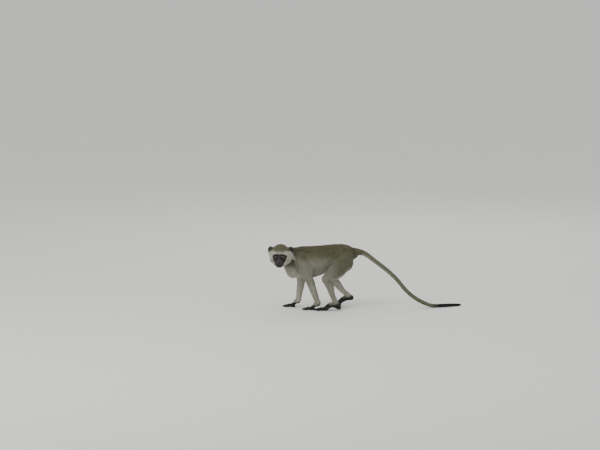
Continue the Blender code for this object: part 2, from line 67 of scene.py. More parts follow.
# ---- Where things are ----
@dataclass(frozen=True)
class BodyPlan:
    """The joints of the body, in metres, before the model is centred on its floor plan.

    A side's joints are given by their distance from the midplane: the left side is -Y and the right is +Y.
    """

    centring: Point = (-0.2109, 0.0166, 0.0000)
    head_place: Point = (-0.1817, -0.058, 0.2530)
    head_forward: Point = (-0.13, -1.0, -0.05)
    eye_radius: float = 0.0088
    eye_place: Point = (15.5, 26.2, -2.0)
    arm_left: tuple[Point, ...] = ((-0.0910, 0.041, 0.2270), (-0.0437, 0.056, 0.1270), (-0.0100, 0.047, 0.0310))
    arm_right: tuple[Point, ...] = ((-0.1070, 0.041, 0.2270), (-0.0860, 0.056, 0.1200), (-0.1000, 0.048, 0.0310))
    leg_left: tuple[Point, ...] = ((0.1150, 0.040, 0.2380), (0.0270, 0.068, 0.1440), (0.0720, 0.068, 0.0340))
    leg_right: tuple[Point, ...] = ((0.1150, 0.040, 0.2380), (0.0500, 0.066, 0.1290), (0.1320, 0.062, 0.0480))
    heel_lift: tuple[float, float] = (0.0, 0.026)
    tail: tuple[Point, ...] = (
        (0.160, 0.000, 0.2700), (0.207, 0.000, 0.2535), (0.253, -0.001, 0.2200), (0.290, -0.002, 0.1920),
        (0.330, -0.003, 0.1590), (0.360, -0.004, 0.1280), (0.384, -0.004, 0.0980), (0.410, -0.003, 0.0710),
        (0.442, 0.000, 0.0460), (0.480, 0.006, 0.0240), (0.520, 0.015, 0.0098), (0.565, 0.029, 0.0086),
        (0.610, 0.047, 0.0080), (0.645, 0.066, 0.0066), (0.658, 0.075, 0.0052),
    )

    def head_turn(self) -> Matrix:
        """The head's axes (across to its right, forward, up) as the columns of a rotation.

        Returns:
            The rotation from head axes to the row frame.
        """
        forward = Vector(self.head_forward).normalized()
        across = forward.cross(Vector((0.0, 0.0, 1.0))).normalized()
        return Matrix((across, forward, across.cross(forward))).transposed()

    def joints(self, limb: str, side: int) -> list[Vector]:
        """A limb's joints from the root outwards, on the side -1 (left) or +1 (right)."""
        points = getattr(self, limb + ("_left" if side < 0 else "_right"))
        return [Vector((x, y * side, z)) for x, y, z in points]


PLAN = BodyPlan()


class Place:
    """Turns plan and head coordinates into the row frame, whose origin is under the middle of the model."""

    def __init__(self) -> None:
        """Places the head and the eyes."""
        self.shift = Vector(PLAN.centring)
        self.turn = PLAN.head_turn()
        self.head = self.shift + Vector(PLAN.head_place)
        across, forward, up = PLAN.eye_place
        self.eyes = [self.face((across * side, forward, up)) for side in (-1, 1)]

    def body(self, point: Sequence[float]) -> Vector:
        """A plan point in the row frame."""
        return Vector(point) + self.shift

    def face(self, point: Sequence[float]) -> Vector:
        """A point in the head's own millimetres (across, forward, up) in the row frame."""
        return self.head + self.turn @ (Vector(point) * MM)

    def to_head(self, points: Array) -> Array:
        """Row-frame points as head millimetres."""
        return (points - np.array(self.head)) @ np.array(self.turn) / MM

    def from_head(self, points: Array) -> Array:
        """Head millimetres as row-frame points."""
        return points * MM @ np.array(self.turn).T + np.array(self.head)


# ---- Modelling tools ----
def deselect() -> None:
    """Leaves nothing selected."""
    bpy.ops.object.select_all(action="DESELECT")


def activate(item: bpy.types.Object) -> None:
    """Makes one object the only one selected and the active one.

    Args:
        item: the object.
    """
    deselect()
    item.select_set(True)
    bpy.context.view_layer.objects.active = item


def applied(item: bpy.types.Object, kind: str, **settings: object) -> None:
    """Adds a modifier with its settings to an object and applies it.

    Args:
        item: the object.
        kind: the modifier's type.
        **settings: the modifier's properties.
    """
    activate(item)
    modifier = item.modifiers.new(kind.lower(), kind)
    for name, value in settings.items():
        setattr(modifier, name, value)
    bpy.ops.object.modifier_apply(modifier=modifier.name)


def settle(item: bpy.types.Object) -> None:
    """Works an object's place, turn and size into its mesh."""
    item.data.transform(item.matrix_world)
    item.matrix_world = Matrix.Identity(4)


def ball(centre: Sequence[float], half: Sequence[float], turn: Matrix | None = None,
         segments: int = 32) -> bpy.types.Object:
    """An ellipsoid.

    Args:
        centre: its middle, in metres.
        half: its half sizes along its own axes.
        turn: its rotation, if it isn't square to the axes.
        segments: how many segments it has round its upright axis.

    Returns:
        The new object, at the origin.
    """
    deselect()
    bpy.ops.mesh.primitive_uv_sphere_add(segments=segments, ring_count=segments * 5 // 8, radius=1.0)
    item = bpy.context.object
    rotation = (turn or Matrix.Identity(3)).to_4x4()
    item.matrix_world = Matrix.Translation(centre) @ rotation @ Matrix.Diagonal((*half, 1.0))
    bpy.context.view_layer.update()
    settle(item)
    return item


def tube(line: Sequence[tuple[float, float, float, float]]) -> list[bpy.types.Object]:
    """A tapered tube with round ends along points (x, y, z, radius).

    Args:
        line: the points along it, in metres, each with its radius.

    Returns:
        The tube and the balls that close its ends.
    """
    curve = bpy.data.curves.new("tube", "CURVE")
    curve.dimensions = "3D"
    curve.bevel_depth = 1.0
    curve.bevel_resolution = 5
    curve.resolution_u = 8
    curve.use_fill_caps = True
    spline = curve.splines.new("BEZIER")
    spline.bezier_points.add(len(line) - 1)
    for point, (x, y, z, radius) in zip(spline.bezier_points, line):
        point.co = (x, y, z)
        point.radius = radius
        point.handle_left_type = point.handle_right_type = "AUTO"
    item = bpy.data.objects.new("tube", curve)
    bpy.context.scene.collection.objects.link(item)
    activate(item)
    bpy.ops.object.convert(target="MESH")
    ends = [ball(point[:3], (point[3],) * 3) for point in (line[0], line[-1])]
    return [item, *ends]


def joined(items: Iterable[bpy.types.Object], name: str) -> bpy.types.Object:
    """Several objects made one.

    Args:
        items: the objects, which become one.
        name: the result's name.

    Returns:
        The joined object.
    """
    items = list(items)
    activate(items[0])
    for item in items:
        item.select_set(True)
    bpy.ops.object.join()
    items[0].name = name
    items[0].data.name = name
    return items[0]


def copy_of_node(name: str) -> bpy.types.Object:
    """A copy of a CAD node's mesh with its loose triangles merged.

    Args:
        name: the CAD node's name.

    Returns:
        The copy. The node itself is left as it is.
    """
    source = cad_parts[name]
    item = bpy.data.objects.new(name + "_copy", source.data.copy())
    bpy.context.scene.collection.objects.link(item)
    form = bmesh.new()
    form.from_mesh(item.data)
    bmesh.ops.remove_doubles(form, verts=form.verts, dist=1e-6)
    form.to_mesh(item.data)
    form.free()
    item.data.materials.clear()
    return item


def points_of(mesh: bpy.types.Mesh) -> Array:
    """A mesh's vertex positions.

    Args:
        mesh: the mesh.

    Returns:
        One row of three coordinates for each vertex.
    """
    flat = np.empty(len(mesh.vertices) * 3)
    mesh.vertices.foreach_get("co", flat)
    return flat.reshape(-1, 3)


def normals_of(mesh: bpy.types.Mesh) -> Array:
    """A mesh's smooth vertex normals.

    Args:
        mesh: the mesh.

    Returns:
        One row of three coordinates for each vertex.
    """
    flat = np.empty(len(mesh.vertices) * 3)
    mesh.vertices.foreach_get("normal", flat)
    return flat.reshape(-1, 3)


def move_points(mesh: bpy.types.Mesh, points: Array) -> None:
    """Gives a mesh new vertex positions."""
    mesh.vertices.foreach_set("co", np.ascontiguousarray(points, dtype=np.float32).ravel())
    mesh.update()


def smoothstep(low: float, high: float, value: Array) -> Array:
    """A smooth rise from 0 at low to 1 at high."""
    t = np.clip((value - low) / (high - low), 0.0, 1.0)
    return t * t * (3.0 - 2.0 * t)


def unit(vectors: Array) -> Array:
    """Vectors made one long."""
    return vectors / np.maximum(np.linalg.norm(vectors, axis=1, keepdims=True), 1e-9)


# ---- The lie of the coat ----
class Region(Enum):
    """The pieces that the coat is made in."""

    HEAD = 0
    NECK = 1
    TRUNK = 2
    HIND = 3
    ARMS = 4
    LEGS = 5
    TAIL = 6


@dataclass(frozen=True)
class Hair:
    """What the coat is like somewhere: millimetres, and tufts per square millimetre."""

    length: float
    depth: float
    width: float
    density: float


@dataclass(frozen=True)
class Guide:
    """A line that the hair about it follows, from where the hair grows to where it points.

    Attributes:
        points: the line's points, in plan metres or, if on_head, in head millimetres.
        radius: how far the line's pull reaches, in metres.
        hair: the coat along it.
        region: the coat piece that grows there.
        fall: how much the hair also hangs down.
        on_head: whether the points are head millimetres.
        mirrored: whether the line is made on both sides.
    """

    points: tuple[Point, ...]
    radius: float
    hair: Hair
    region: Region
    fall: float = 0.0
    on_head: bool = False
    mirrored: bool = False


CROWN = Hair(13, 6.5, 0.58, 1.05)
BROW = Hair(8, 3.0, 0.55, 1.7)
RUFF = Hair(22, 8.0, 0.58, 1.15)
JAW = Hair(15, 5.0, 0.7, 1.2)
CHIN = Hair(7, 2.0, 0.5, 1.3)
MANE = Hair(24, 9.0, 0.74, 0.75)
BACK = Hair(26, 8.5, 0.78, 0.62)
FLANK = Hair(26, 8.0, 0.78, 0.60)
UNDER = Hair(20, 6.5, 0.78, 0.60)
THIGH = Hair(20, 6.0, 0.74, 0.62)
SHANK = Hair(12, 3.2, 0.65, 1.0)
ARM = Hair(19, 6.0, 0.74, 0.65)
FOREARM = Hair(13, 3.2, 0.65, 1.0)
PAW = Hair(4.0, 0.5, 0.40, 1.2)
EAR = Hair(4.0, 0.7, 0.30, 1.6)
TAIL = Hair(14, 3.3, 0.65, 1.05)
TAIL_END = Hair(17, 3.6, 0.7, 1.1)

GUIDES: tuple[Guide, ...] = (
    Guide(((0, 34, 15), (0, 25, 34), (0, 2, 48), (0, -28, 42), (0, -50, 14)), 0.024, CROWN, Region.HEAD,
          on_head=True),
    Guide(((20, 31, 12), (30, 18, 30), (32, -8, 38), (28, -38, 20)), 0.018, CROWN, Region.HEAD,
          on_head=True, mirrored=True),
    Guide(((8, 36, 11), (14, 32, 20)), 0.007, BROW, Region.HEAD, on_head=True, mirrored=True),
    Guide(((25, 30, 9), (36, 18, 15)), 0.008, BROW, Region.HEAD, on_head=True, mirrored=True),
    Guide(((28, 24, 0), (42, 10, 3), (55, -14, 6)), 0.014, RUFF, Region.HEAD, on_head=True, mirrored=True),
    Guide(((24, 27, -16), (38, 12, -20), (47, -12, -22)), 0.014, RUFF, Region.HEAD, on_head=True,
          mirrored=True),
    Guide(((16, 36, -36), (25, 16, -38), (32, -12, -38)), 0.013, JAW, Region.HEAD, on_head=True,
          mirrored=True),
    Guide(((0, 50, -46), (0, 30, -50)), 0.010, CHIN, Region.HEAD, on_head=True),
    Guide(((0, 30, -50), (0, 6, -52), (0, -16, -50)), 0.014, JAW, Region.HEAD, on_head=True),
    Guide(((-0.186, 0.004, 0.288), (-0.140, 0.006, 0.286), (-0.085, 0.000, 0.288)), 0.030, MANE, Region.NECK,
          fall=0.10),
    Guide(((-0.200, -0.010, 0.245), (-0.178, 0.028, 0.240), (-0.130, 0.042, 0.232), (-0.080, 0.046, 0.225)),
          0.028, MANE, Region.NECK, fall=0.25),
    Guide(((-0.150, -0.044, 0.235), (-0.118, -0.044, 0.225), (-0.085, -0.046, 0.215)), 0.022, MANE,
          Region.NECK, fall=0.25),
    Guide(((-0.168, -0.030, 0.200), (-0.158, -0.010, 0.175), (-0.128, 0.000, 0.145), (-0.085, 0.000, 0.140)),
          0.026, MANE, Region.NECK),
    Guide(((-0.085, 0.0, 0.288), (0.000, 0.0, 0.295), (0.060, 0.0, 0.298), (0.125, 0.0, 0.290)), 0.034, BACK,
          Region.TRUNK, fall=0.10),
    Guide(((-0.070, 0.048, 0.225), (0.000, 0.048, 0.215), (0.070, 0.044, 0.215)), 0.034, FLANK, Region.TRUNK,
          fall=0.45, mirrored=True),
    Guide(((-0.085, 0.0, 0.142), (0.000, 0.0, 0.160), (0.075, 0.0, 0.190)), 0.034, UNDER, Region.TRUNK),
    Guide(((0.100, 0.046, 0.262), (0.135, 0.046, 0.250), (0.160, 0.030, 0.225)), 0.026, THIGH, Region.HIND,
          fall=0.35, mirrored=True),
    Guide(((0.125, 0.0, 0.290), (0.165, 0.0, 0.272)), 0.024, BACK, Region.HIND),
    Guide(((0.165, 0.0, 0.245), (0.160, 0.0, 0.205)), 0.020, UNDER, Region.HIND),
)


@dataclass
class Coatline:
    """All the guides as straight stretches in the row frame, ready to be blended.

    Attributes:
        place: where things are.
    """

    place: Place
    starts: Array = field(init=False)
    ends: Array = field(init=False)
    radii: Array = field(init=False)
    hairs: Array = field(init=False)
    falls: Array = field(init=False)
    regions: Array = field(init=False)

    def __post_init__(self) -> None:
        """Lays the stretches out."""
        rows = [row for guide in (*GUIDES, *self.limb_guides()) for row in self.stretches(guide)]
        self.starts = np.array([row[0] for row in rows])
        self.ends = np.array([row[1] for row in rows])
        self.radii = np.array([row[2].radius for row in rows])
        self.falls = np.array([row[2].fall for row in rows])
        self.regions = np.array([row[2].region.value for row in rows])
        self.hairs = np.array([
            (row[2].hair.length, row[2].hair.depth, row[2].hair.width, row[2].hair.density) for row in rows
        ])

    def limb_guides(self) -> list[Guide]:
        """The guides along the limbs, hands, feet and tail.

        Returns:
            The guides, in plan metres.
        """
        guides = []
        for side in (-1, 1):
            shoulder, elbow, wrist = PLAN.joints("arm", side)
            hip, knee, ankle = PLAN.joints("leg", side)
            fingers = wrist + Vector((-0.060, 0.0, -0.024))
            toes = ankle + Vector((-0.085, 0.0, 0.006 - ankle.z))
            blade = shoulder + Vector((0.0, 0.0, 0.045))
            guides += [
                Guide((tuple(blade), tuple(shoulder), tuple(shoulder.lerp(elbow, 0.75))), 0.033, ARM,
                      Region.ARMS, fall=0.15),
                Guide((tuple(shoulder.lerp(elbow, 0.75)), tuple(elbow), tuple(elbow.lerp(wrist, 0.45))), 0.020,
                      Hair(15, 4.2, 0.75, 0.85), Region.ARMS),
                Guide((tuple(elbow.lerp(wrist, 0.45)), tuple(wrist)), 0.015, FOREARM, Region.ARMS),
                Guide((tuple(wrist + Vector((-0.004, 0.0, -0.006))), tuple(fingers)), 0.012, PAW, Region.ARMS),
                Guide((tuple(hip), tuple(hip.lerp(knee, 0.8))), 0.042, THIGH, Region.LEGS, fall=0.20),
                Guide((tuple(hip.lerp(knee, 0.8)), tuple(knee), tuple(knee.lerp(ankle, 0.45))), 0.022,
                      Hair(15, 4.2, 0.75, 0.85), Region.LEGS, fall=0.10),
                Guide((tuple(knee.lerp(ankle, 0.45)), tuple(ankle)), 0.015, SHANK, Region.LEGS),
                Guide((tuple(ankle + Vector((0.012, 0.0, -0.012))), tuple(toes)), 0.013, PAW, Region.LEGS),
            ]
        guides.append(Guide(PLAN.tail[:11], 0.012, TAIL, Region.TAIL))
        guides.append(Guide(PLAN.tail[10:], 0.012, TAIL_END, Region.TAIL))
        return guides

    def stretches(self, guide: Guide) -> list[tuple[Array, Array, Guide]]:
        """A guide's straight stretches in the row frame, on one side or both.

        Args:
            guide: the guide.

        Returns:
            Each stretch's start, its end and the guide it belongs to.
        """
        rows = []
        for side in (1, -1) if guide.mirrored else (1,):
            if guide.on_head:
                points = [self.place.face((x * side, y, z)) for x, y, z in guide.points]
            else:
                points = [self.place.body((x, y * side, z)) for x, y, z in guide.points]
            rows += [(np.array(a), np.array(b), guide) for a, b in zip(points, points[1:])]
        return rows

    def read(self, points: Array) -> tuple[Array, Array, Array]:
        """What the coat does at some points.

        Args:
            points: positions in the row frame.

        Returns:
            The direction the hair runs before it is laid on the skin, the coat's numbers in the order of Hair
            (in millimetres), and the number of the region.
        """
        total = np.zeros(len(points))
        along = np.zeros((len(points), 3))
        numbers = np.zeros((len(points), 4))
        votes = np.zeros((len(points), len(Region)))
        for start, end, radius, hair, fall, region in zip(
            self.starts, self.ends, self.radii, self.hairs, self.falls, self.regions
        ):
            span = end - start
            t = np.clip((points - start) @ span / (span @ span), 0.0, 1.0)
            away = np.linalg.norm(points - start - t[:, None] * span, axis=1) / radius
            weight = 1.0 / (away**6 + 0.02)
            direction = span / np.linalg.norm(span) + np.array((0.0, 0.0, -fall))
            total += weight
            along += weight[:, None] * direction
            numbers += weight[:, None] * hair
            votes[:, region] += weight
        return unit(along), numbers / total[:, None], votes.argmax(axis=1)


# ---- The markings ----
class Markings:
    """Where the coat and skin are black, white, grey or olive, as numbers from 0 to 1."""

    def __init__(self, place: Place) -> None:
        """Keeps where things are."""
        self.place = place

    @staticmethod
    def inside_face(head: Array) -> Array:
        """How far inside the edge of the bare black face a point is, all in head millimetres.

        Args:
            head: points in head millimetres.

        Returns:
            The distances, negative outside the face.
        """
        across, forward, up = np.abs(head[:, 0]), head[:, 1], head[:, 2]
        half = np.interp(up, (-56, -48, -36, -20, -8, 0, 7, 13), (6, 11.5, 17, 23.5, 29, 30.5, 28, 21))
        top = 12.5 - 3.0 * np.exp(-((across / 6.0) ** 2)) - 0.0065 * across**2
        inside = np.minimum(half - across, top - up)
        return np.where(up > -54, inside, -20.0) - 20.0 * smoothstep(12.0, 4.0, forward)

    @staticmethod
    def ears(head: Array) -> Array:
        """How much a point, in head millimetres, is on an ear.

        Args:
            head: points in head millimetres.

        Returns:
            A number from 0 to 1 for each point.
        """
        across = np.abs(head[:, 0])
        reach = np.sqrt(((across - 45.5) / 15) ** 2 + ((head[:, 1] + 6) / 13) ** 2 + ((head[:, 2] - 23) / 19.5) ** 2)
        return smoothstep(1.35, 1.10, reach) * smoothstep(33.5, 37.5, across)

    def read(self, points: Array, normals: Array) -> tuple[Array, Array]:
        """The markings at some points.

        Args:
            points: positions in the row frame.
            normals: the skin's normals there.

        Returns:
            Four columns (black, white, grey, brown tint), and how bare each point is.
        """
        head = self.place.to_head(points)
        plan = points - np.array(self.place.shift)
        x, y, z = plan.T
        inside = self.inside_face(head)
        face = smoothstep(-0.8, 1.8, inside)
        bare_face = smoothstep(1.0, 3.2, inside)
        near_head = smoothstep(78.0, 62.0, np.linalg.norm(head, axis=1)) * (plan[:, 0] < -0.12)
        paws = self.paws(plan)
        tail = smoothstep(0.17, 0.20, x)
        tail_tip = smoothstep(0.50, 0.545, x + 0.006 * np.sin(y * 900.0))
        across, forward, up = np.abs(head[:, 0]), head[:, 1], head[:, 2]
        brow = smoothstep(20.0, 16.0, up) * smoothstep(43.0, 37.0, across) * smoothstep(2.0, 12.0, forward)
        ruff_edge = 16.0 - smoothstep(28.0, 50.0, across) * 6.0
        ruff = smoothstep(ruff_edge + 3.0, ruff_edge - 3.0, up) * smoothstep(-30.0, -14.0, forward)
        ruff = ruff * smoothstep(-62.0, -54.0, up)
        white_head = np.maximum(brow, ruff) * near_head
        under = smoothstep(-0.05, -0.65, normals[:, 2]) * (x < 0.165)
        inner = self.inner_limbs(plan, normals)
        throat = smoothstep(0.235, 0.205, z + 0.35 * (x + 0.16)) * smoothstep(-0.105, -0.13, x)
        white_body = np.clip(0.85 * under + inner + 0.9 * throat, 0.0, 1.0) * (1 - near_head)
        limbs = self.lower_limbs(plan)
        flank = smoothstep(0.262, 0.222, z + 0.05 * x) * smoothstep(0.10, 0.05, x)
        rump = smoothstep(0.03, 0.09, x) * smoothstep(0.275, 0.240, z) * (1 - limbs)
        white_flank = 0.30 * flank * (1 - near_head)
        white_limbs = np.where(x < 0.0, 0.50, 0.34) * limbs
        white = np.maximum.reduce([white_head, white_body, white_flank, white_limbs * (1 - tail)])
        under_tail = tail * smoothstep(0.0, -0.5, normals[:, 2]) * smoothstep(0.42, 0.24, x)
        white = np.maximum(white, 0.5 * under_tail)
        grey = np.clip(flank + limbs + 0.75 * rump + tail + 0.35 * near_head, 0.0, 1.0)
        ears = self.ears(head)
        black = np.maximum.reduce([face, paws, tail_tip, 0.85 * ears])
        bare = np.maximum.reduce([bare_face, self.soles(plan, normals), 0.75 * ears])
        warm = smoothstep(0.20, 0.27, z) * smoothstep(0.17, 0.12, x) * (1 - near_head)
        return np.stack([black, white * (1 - black), grey * (1 - black), warm], axis=1), bare

    def paws(self, plan: Array) -> Array:
        """How much a point belongs to the black hands and feet.

        Args:
            plan: points in plan metres.

        Returns:
            A number from 0 to 1 for each point.
        """
        result = np.zeros(len(plan))
        for side in (-1, 1):
            for limb, drop in (("arm", 0.002), ("leg", -0.002)):
                end = PLAN.joints(limb, side)[2]
                same_side = (plan[:, 1] * side > 0.015) & (np.abs(plan[:, 0] - end.x + 0.03) < 0.085)
                level = end.z - drop + 0.30 * (plan[:, 0] - end.x)
                result = np.maximum(result, smoothstep(level + 0.006, level - 0.006, plan[:, 2]) * same_side)
        return result

    def soles(self, plan: Array, normals: Array) -> Array:
        """How much a point is on a bare palm or sole."""
        low = smoothstep(0.030, 0.022, plan[:, 2]) * (plan[:, 0] < 0.17)
        return low * smoothstep(-0.25, -0.6, normals[:, 2])

    def lower_limbs(self, plan: Array) -> Array:
        """How much a point is on a forearm or shank."""
        return smoothstep(0.150, 0.115, plan[:, 2]) * (plan[:, 0] < 0.17)

    def inner_limbs(self, plan: Array, normals: Array) -> Array:
        """How much a point is on the inner side of a limb.

        Args:
            plan: points in plan metres.
            normals: the skin's normals there.

        Returns:
            A number from 0 to 1 for each point.
        """
        inward = -normals[:, 1] * np.sign(plan[:, 1])
        below = smoothstep(0.200, 0.160, plan[:, 2]) * (plan[:, 0] < 0.17)
        return smoothstep(0.15, 0.65, inward) * below * (np.abs(plan[:, 1]) > 0.015)


# ---- The skin ----
# Masses of the skinned head in head millimetres: (across, forward, up), (half sizes), tilt in degrees about the
# across axis. A mass off the midline is made on both sides.
HEAD_MASSES: dict[str, tuple[Point, Point, float]] = {
    "skull": ((0, -8, 10), (35.5, 42, 36), 0),
    "forehead": ((0, 16, 12), (30, 15, 15), 12),
    "brow_ridge": ((14, 27.2, 8.6), (15, 7.6, 4.8), 0),
    "glabella": ((0, 29.0, 7.4), (7, 5.6, 4.6), 0),
    "temple": ((24, 10, 2), (10, 17, 17), 0),
    "eyelids": ((15.5, 25.6, -2.0), (10.2, 10.0, 9.6), 0),
    "cheekbone": ((21, 18.5, -11), (12, 12.5, 9.0), -20),
    "cheek": ((26, 2, -12), (17, 22, 22), -10),
    "jaw": ((16, 18, -30), (12, 25, 13.5), 0),
    "muzzle": ((0, 37, -27), (20, 23.5, 16.5), -28),
    "upper_lip": ((8, 49.5, -30.5), (9.5, 10.5, 8.6), -20),
    "nose_bridge": ((0, 37.5, -10), (8.4, 24, 9.0), -42),
    "nose_tip": ((0, 57.0, -23), (7.4, 5.2, 5.4), -30),
    "nose_wing": ((4.6, 56.0, -25.5), (3.6, 4.6, 3.8), -30),
    "lower_lip": ((0, 50, -42.0), (11.5, 8.5, 4.6), 8),
    "chin": ((0, 40, -41.5), (14.5, 16, 8.0), 10),
    "jaw_floor": ((0, 24, -36), (17, 26, 11), 6),
    "throat": ((0, 4, -34), (22, 30, 14), 0),
    "nape": ((0, -24, -10), (27, 24, 26), 0),
}


@dataclass
class Skin:
    """The one skin of the whole animal, from nose to tail.

    Attributes:
        place: where things are.
        coatline: how deep the coat is.
        markings: its colours.
        core_voxel: how finely the furred body is fused, in metres.
        head_margin: how much further the fused body is drawn in at the head, which is modelled anew, in mm.
        voxel: how finely the whole is fused, in metres.
        keep_hidden, keep_paws, keep_face, keep_features: the share of triangles kept under the coat, on the
            hands and feet, on the face, and about the eyes, nose and mouth.
    """

    place: Place
    coatline: Coatline
    markings: Markings
    core_voxel: float = 0.0030
    head_margin: float = 4.5
    voxel: float = 0.00125
    keep_hidden: float = 0.155
    keep_paws: float = 0.42
    keep_face: float = 0.60
    keep_features: float = 0.55
    item: bpy.types.Object = field(init=False)

    def build(self) -> bpy.types.Object:
        """Models the skin, thins it and names its colours.

        Returns:
            The skin.
        """
        parts = [self.core(), *self.neck(), *self.head()]
        for side in (-1, 1):
            parts += [*Hand(side, self.place).masses(), *Foot(side, self.place).masses()]
            parts.append(Ear(side, self.place).build())
        self.item = joined(parts, "skin")
        applied(self.item, "REMESH", mode="VOXEL", voxel_size=self.voxel)
        applied(self.item, "SMOOTH", factor=0.5, iterations=4)
        self.soften(self.near_head, 10)
        log.info("skin fused: %d vertices", len(self.item.data.vertices))
        self.refine_face()
        Face(self.place).sculpt(self.item.data)
        self.flatten_soles()
        self.thin()
        self.record()
        self.item.data.shade_smooth()
        return self.item

    def core(self) -> bpy.types.Object:
        """The furred body: the CAD lengths fused, then drawn in by the coat's depth.

        Returns:
            The body at skin level, without ears, hands and feet.
        """
        names = [name for name in FLESH if not name.startswith(("ear", "hand", "foot"))]
        item = joined([copy_of_node(name) for name in names], "core")
        applied(item, "DISPLACE", strength=0.0005, mid_level=0.0)
        applied(item, "REMESH", mode="VOXEL", voxel_size=self.core_voxel)
        applied(item, "SMOOTH", factor=0.5, iterations=8)
        points, normals = points_of(item.data), normals_of(item.data)
        _, numbers, _ = self.coatline.read(points)
        away = np.linalg.norm(self.place.to_head(points), axis=1)
        drawn_in = numbers[:, 1] + self.head_margin * smoothstep(84.0, 62.0, away)
        move_points(item.data, points - normals * drawn_in[:, None] * MM)
        applied(item, "SMOOTH", factor=0.5, iterations=6)
        return item

    def neck(self) -> list[bpy.types.Object]:
        """The neck's core, from the shoulders round into the head.

        Returns:
            The masses of the neck.
        """
        line = ((-0.095, 0.002, 0.240, 0.036), (-0.130, 0.005, 0.240, 0.034), (-0.160, -0.002, 0.241, 0.033),
                (-0.179, -0.030, 0.246, 0.031))
        nape_side = ball(self.place.body((-0.163, 0.011, 0.236)), (0.025, 0.025, 0.027))
        return [nape_side, *tube([(*self.place.body(point[:3]), point[3]) for point in line])]

    def head(self) -> list[bpy.types.Object]:
        """The masses of the skinned head.

        Returns:
            One ellipsoid for each mass and side.
        """
        made = []
        for (across, forward, up), half, tilt in HEAD_MASSES.values():
            for side in (1, -1) if across else (1,):
                turn = self.place.turn @ Matrix.Rotation(math.radians(tilt), 3, "X")
                centre = self.place.face((across * side, forward, up))
                made.append(ball(centre, [size * MM for size in half], turn, 40))
        return made

    def refine_face(self) -> None:
        """Gives the face finer faces, and the eyes, nose and mouth finer ones still."""
        for reach in (self.near_face, self.near_features):
            mesh = self.item.data
            centres = np.empty(len(mesh.polygons) * 3)
            mesh.polygons.foreach_get("center", centres)
            chosen = reach(self.place.to_head(centres.reshape(-1, 3)))
            activate(self.item)
            bpy.ops.object.mode_set(mode="EDIT")
            bpy.ops.mesh.select_mode(type="FACE")
            bpy.ops.mesh.select_all(action="DESELECT")
            bpy.ops.object.mode_set(mode="OBJECT")
            self.item.data.polygons.foreach_set("select", chosen)
            bpy.ops.object.mode_set(mode="EDIT")
            bpy.ops.mesh.subdivide(number_cuts=1, smoothness=0.6)
            bpy.ops.object.mode_set(mode="OBJECT")
            self.soften(reach, 3)

    def soften(self, reach: Callable[[Array], Array], iterations: int) -> None:
        """Smooths one part of the skin.

        Args:
            reach: tells which points, in head millimetres, are smoothed.
            iterations: how many times they are smoothed.
        """
        group = self.item.vertex_groups.new(name="refined")
        inside = np.flatnonzero(reach(self.place.to_head(points_of(self.item.data))))
        group.add([int(k) for k in inside], 1.0, "REPLACE")
        applied(self.item, "SMOOTH", factor=0.5, iterations=iterations, vertex_group=group.name)
        self.item.vertex_groups.clear()

    @staticmethod
    def near_head(head: Array) -> Array:
        """Which points are on the head, but for the ears."""
        return (np.abs(head[:, 0]) < 36) & (head[:, 1] > -30) & (head[:, 1] < 80) & (np.abs(head[:, 2]) < 60)

    @staticmethod
    def near_face(head: Array) -> Array:
        """Which points are on the bare face or close to it."""
        across, forward, up = np.abs(head[:, 0]), head[:, 1], head[:, 2]
        return (across < 31) & (forward > 14) & (up > -56) & (up < 16)

    @staticmethod
    def near_features(head: Array) -> Array:
        """Which points are about the eyes, nostrils and mouth.

        Args:
            head: points in head millimetres.

        Returns:
            Whether each point is.
        """
        across, forward, up = np.abs(head[:, 0]), head[:, 1], head[:, 2]
        eyes = (across > 4) & (across < 27) & (up > -13) & (up < 9) & (forward > 18)
        muzzle = (across < 17) & (up > -43) & (up < -19) & (forward > 42)
        return eyes | muzzle

    def flatten_soles(self) -> None:
        """Sets the palms, soles and the tail's underside flat on the floor."""
        points = points_of(self.item.data)
        points[:, 2] = np.maximum(points[:, 2], 0.0)
        move_points(self.item.data, points)

    def thin(self) -> None:
        """Thins the skin most where the coat hides it, and least about the eyes, nose and mouth."""
        for choose, keep in (
            (lambda head, plan: ~(self.near_face(head) | self.near_paws(plan) | self.near_ears(head)),
             self.keep_hidden),
            (lambda head, plan: self.near_paws(plan), self.keep_paws),
            (lambda head, plan: self.near_face(head) & ~self.near_features(head), self.keep_face),
            (lambda head, plan: self.near_features(head), self.keep_features),
        ):
            points = points_of(self.item.data)
            chosen = choose(self.place.to_head(points), points - np.array(self.place.shift))
            group = self.item.vertex_groups.new(name="thinned")
            group.add([int(k) for k in np.flatnonzero(chosen)], 1.0, "REPLACE")
            ratio = 1.0 - (1.0 - keep) * chosen.mean()
            applied(self.item, "DECIMATE", ratio=ratio, vertex_group=group.name, use_collapse_triangulate=True)
            self.item.vertex_groups.clear()

    def near_paws(self, plan: Array) -> Array:
        """Which plan points are on the hands and feet."""
        return (self.markings.paws(plan) > 0.05) & (plan[:, 0] < 0.17)

    @staticmethod
    def near_ears(head: Array) -> Array:
        """Which points are on the ears, which stand clear of the coat."""
        return (np.abs(head[:, 0]) > 37) & (np.abs(head[:, 0]) < 65) & (head[:, 2] > 2) & (np.abs(head[:, 1]) < 40)

    def record(self) -> None:
        """Writes the markings on the skin as an attribute."""
        mesh = self.item.data
        marks, _ = self.markings.read(points_of(mesh), normals_of(mesh))
        mesh.attributes.new("marks", "FLOAT_COLOR", "POINT").data.foreach_set("color", marks.ravel())


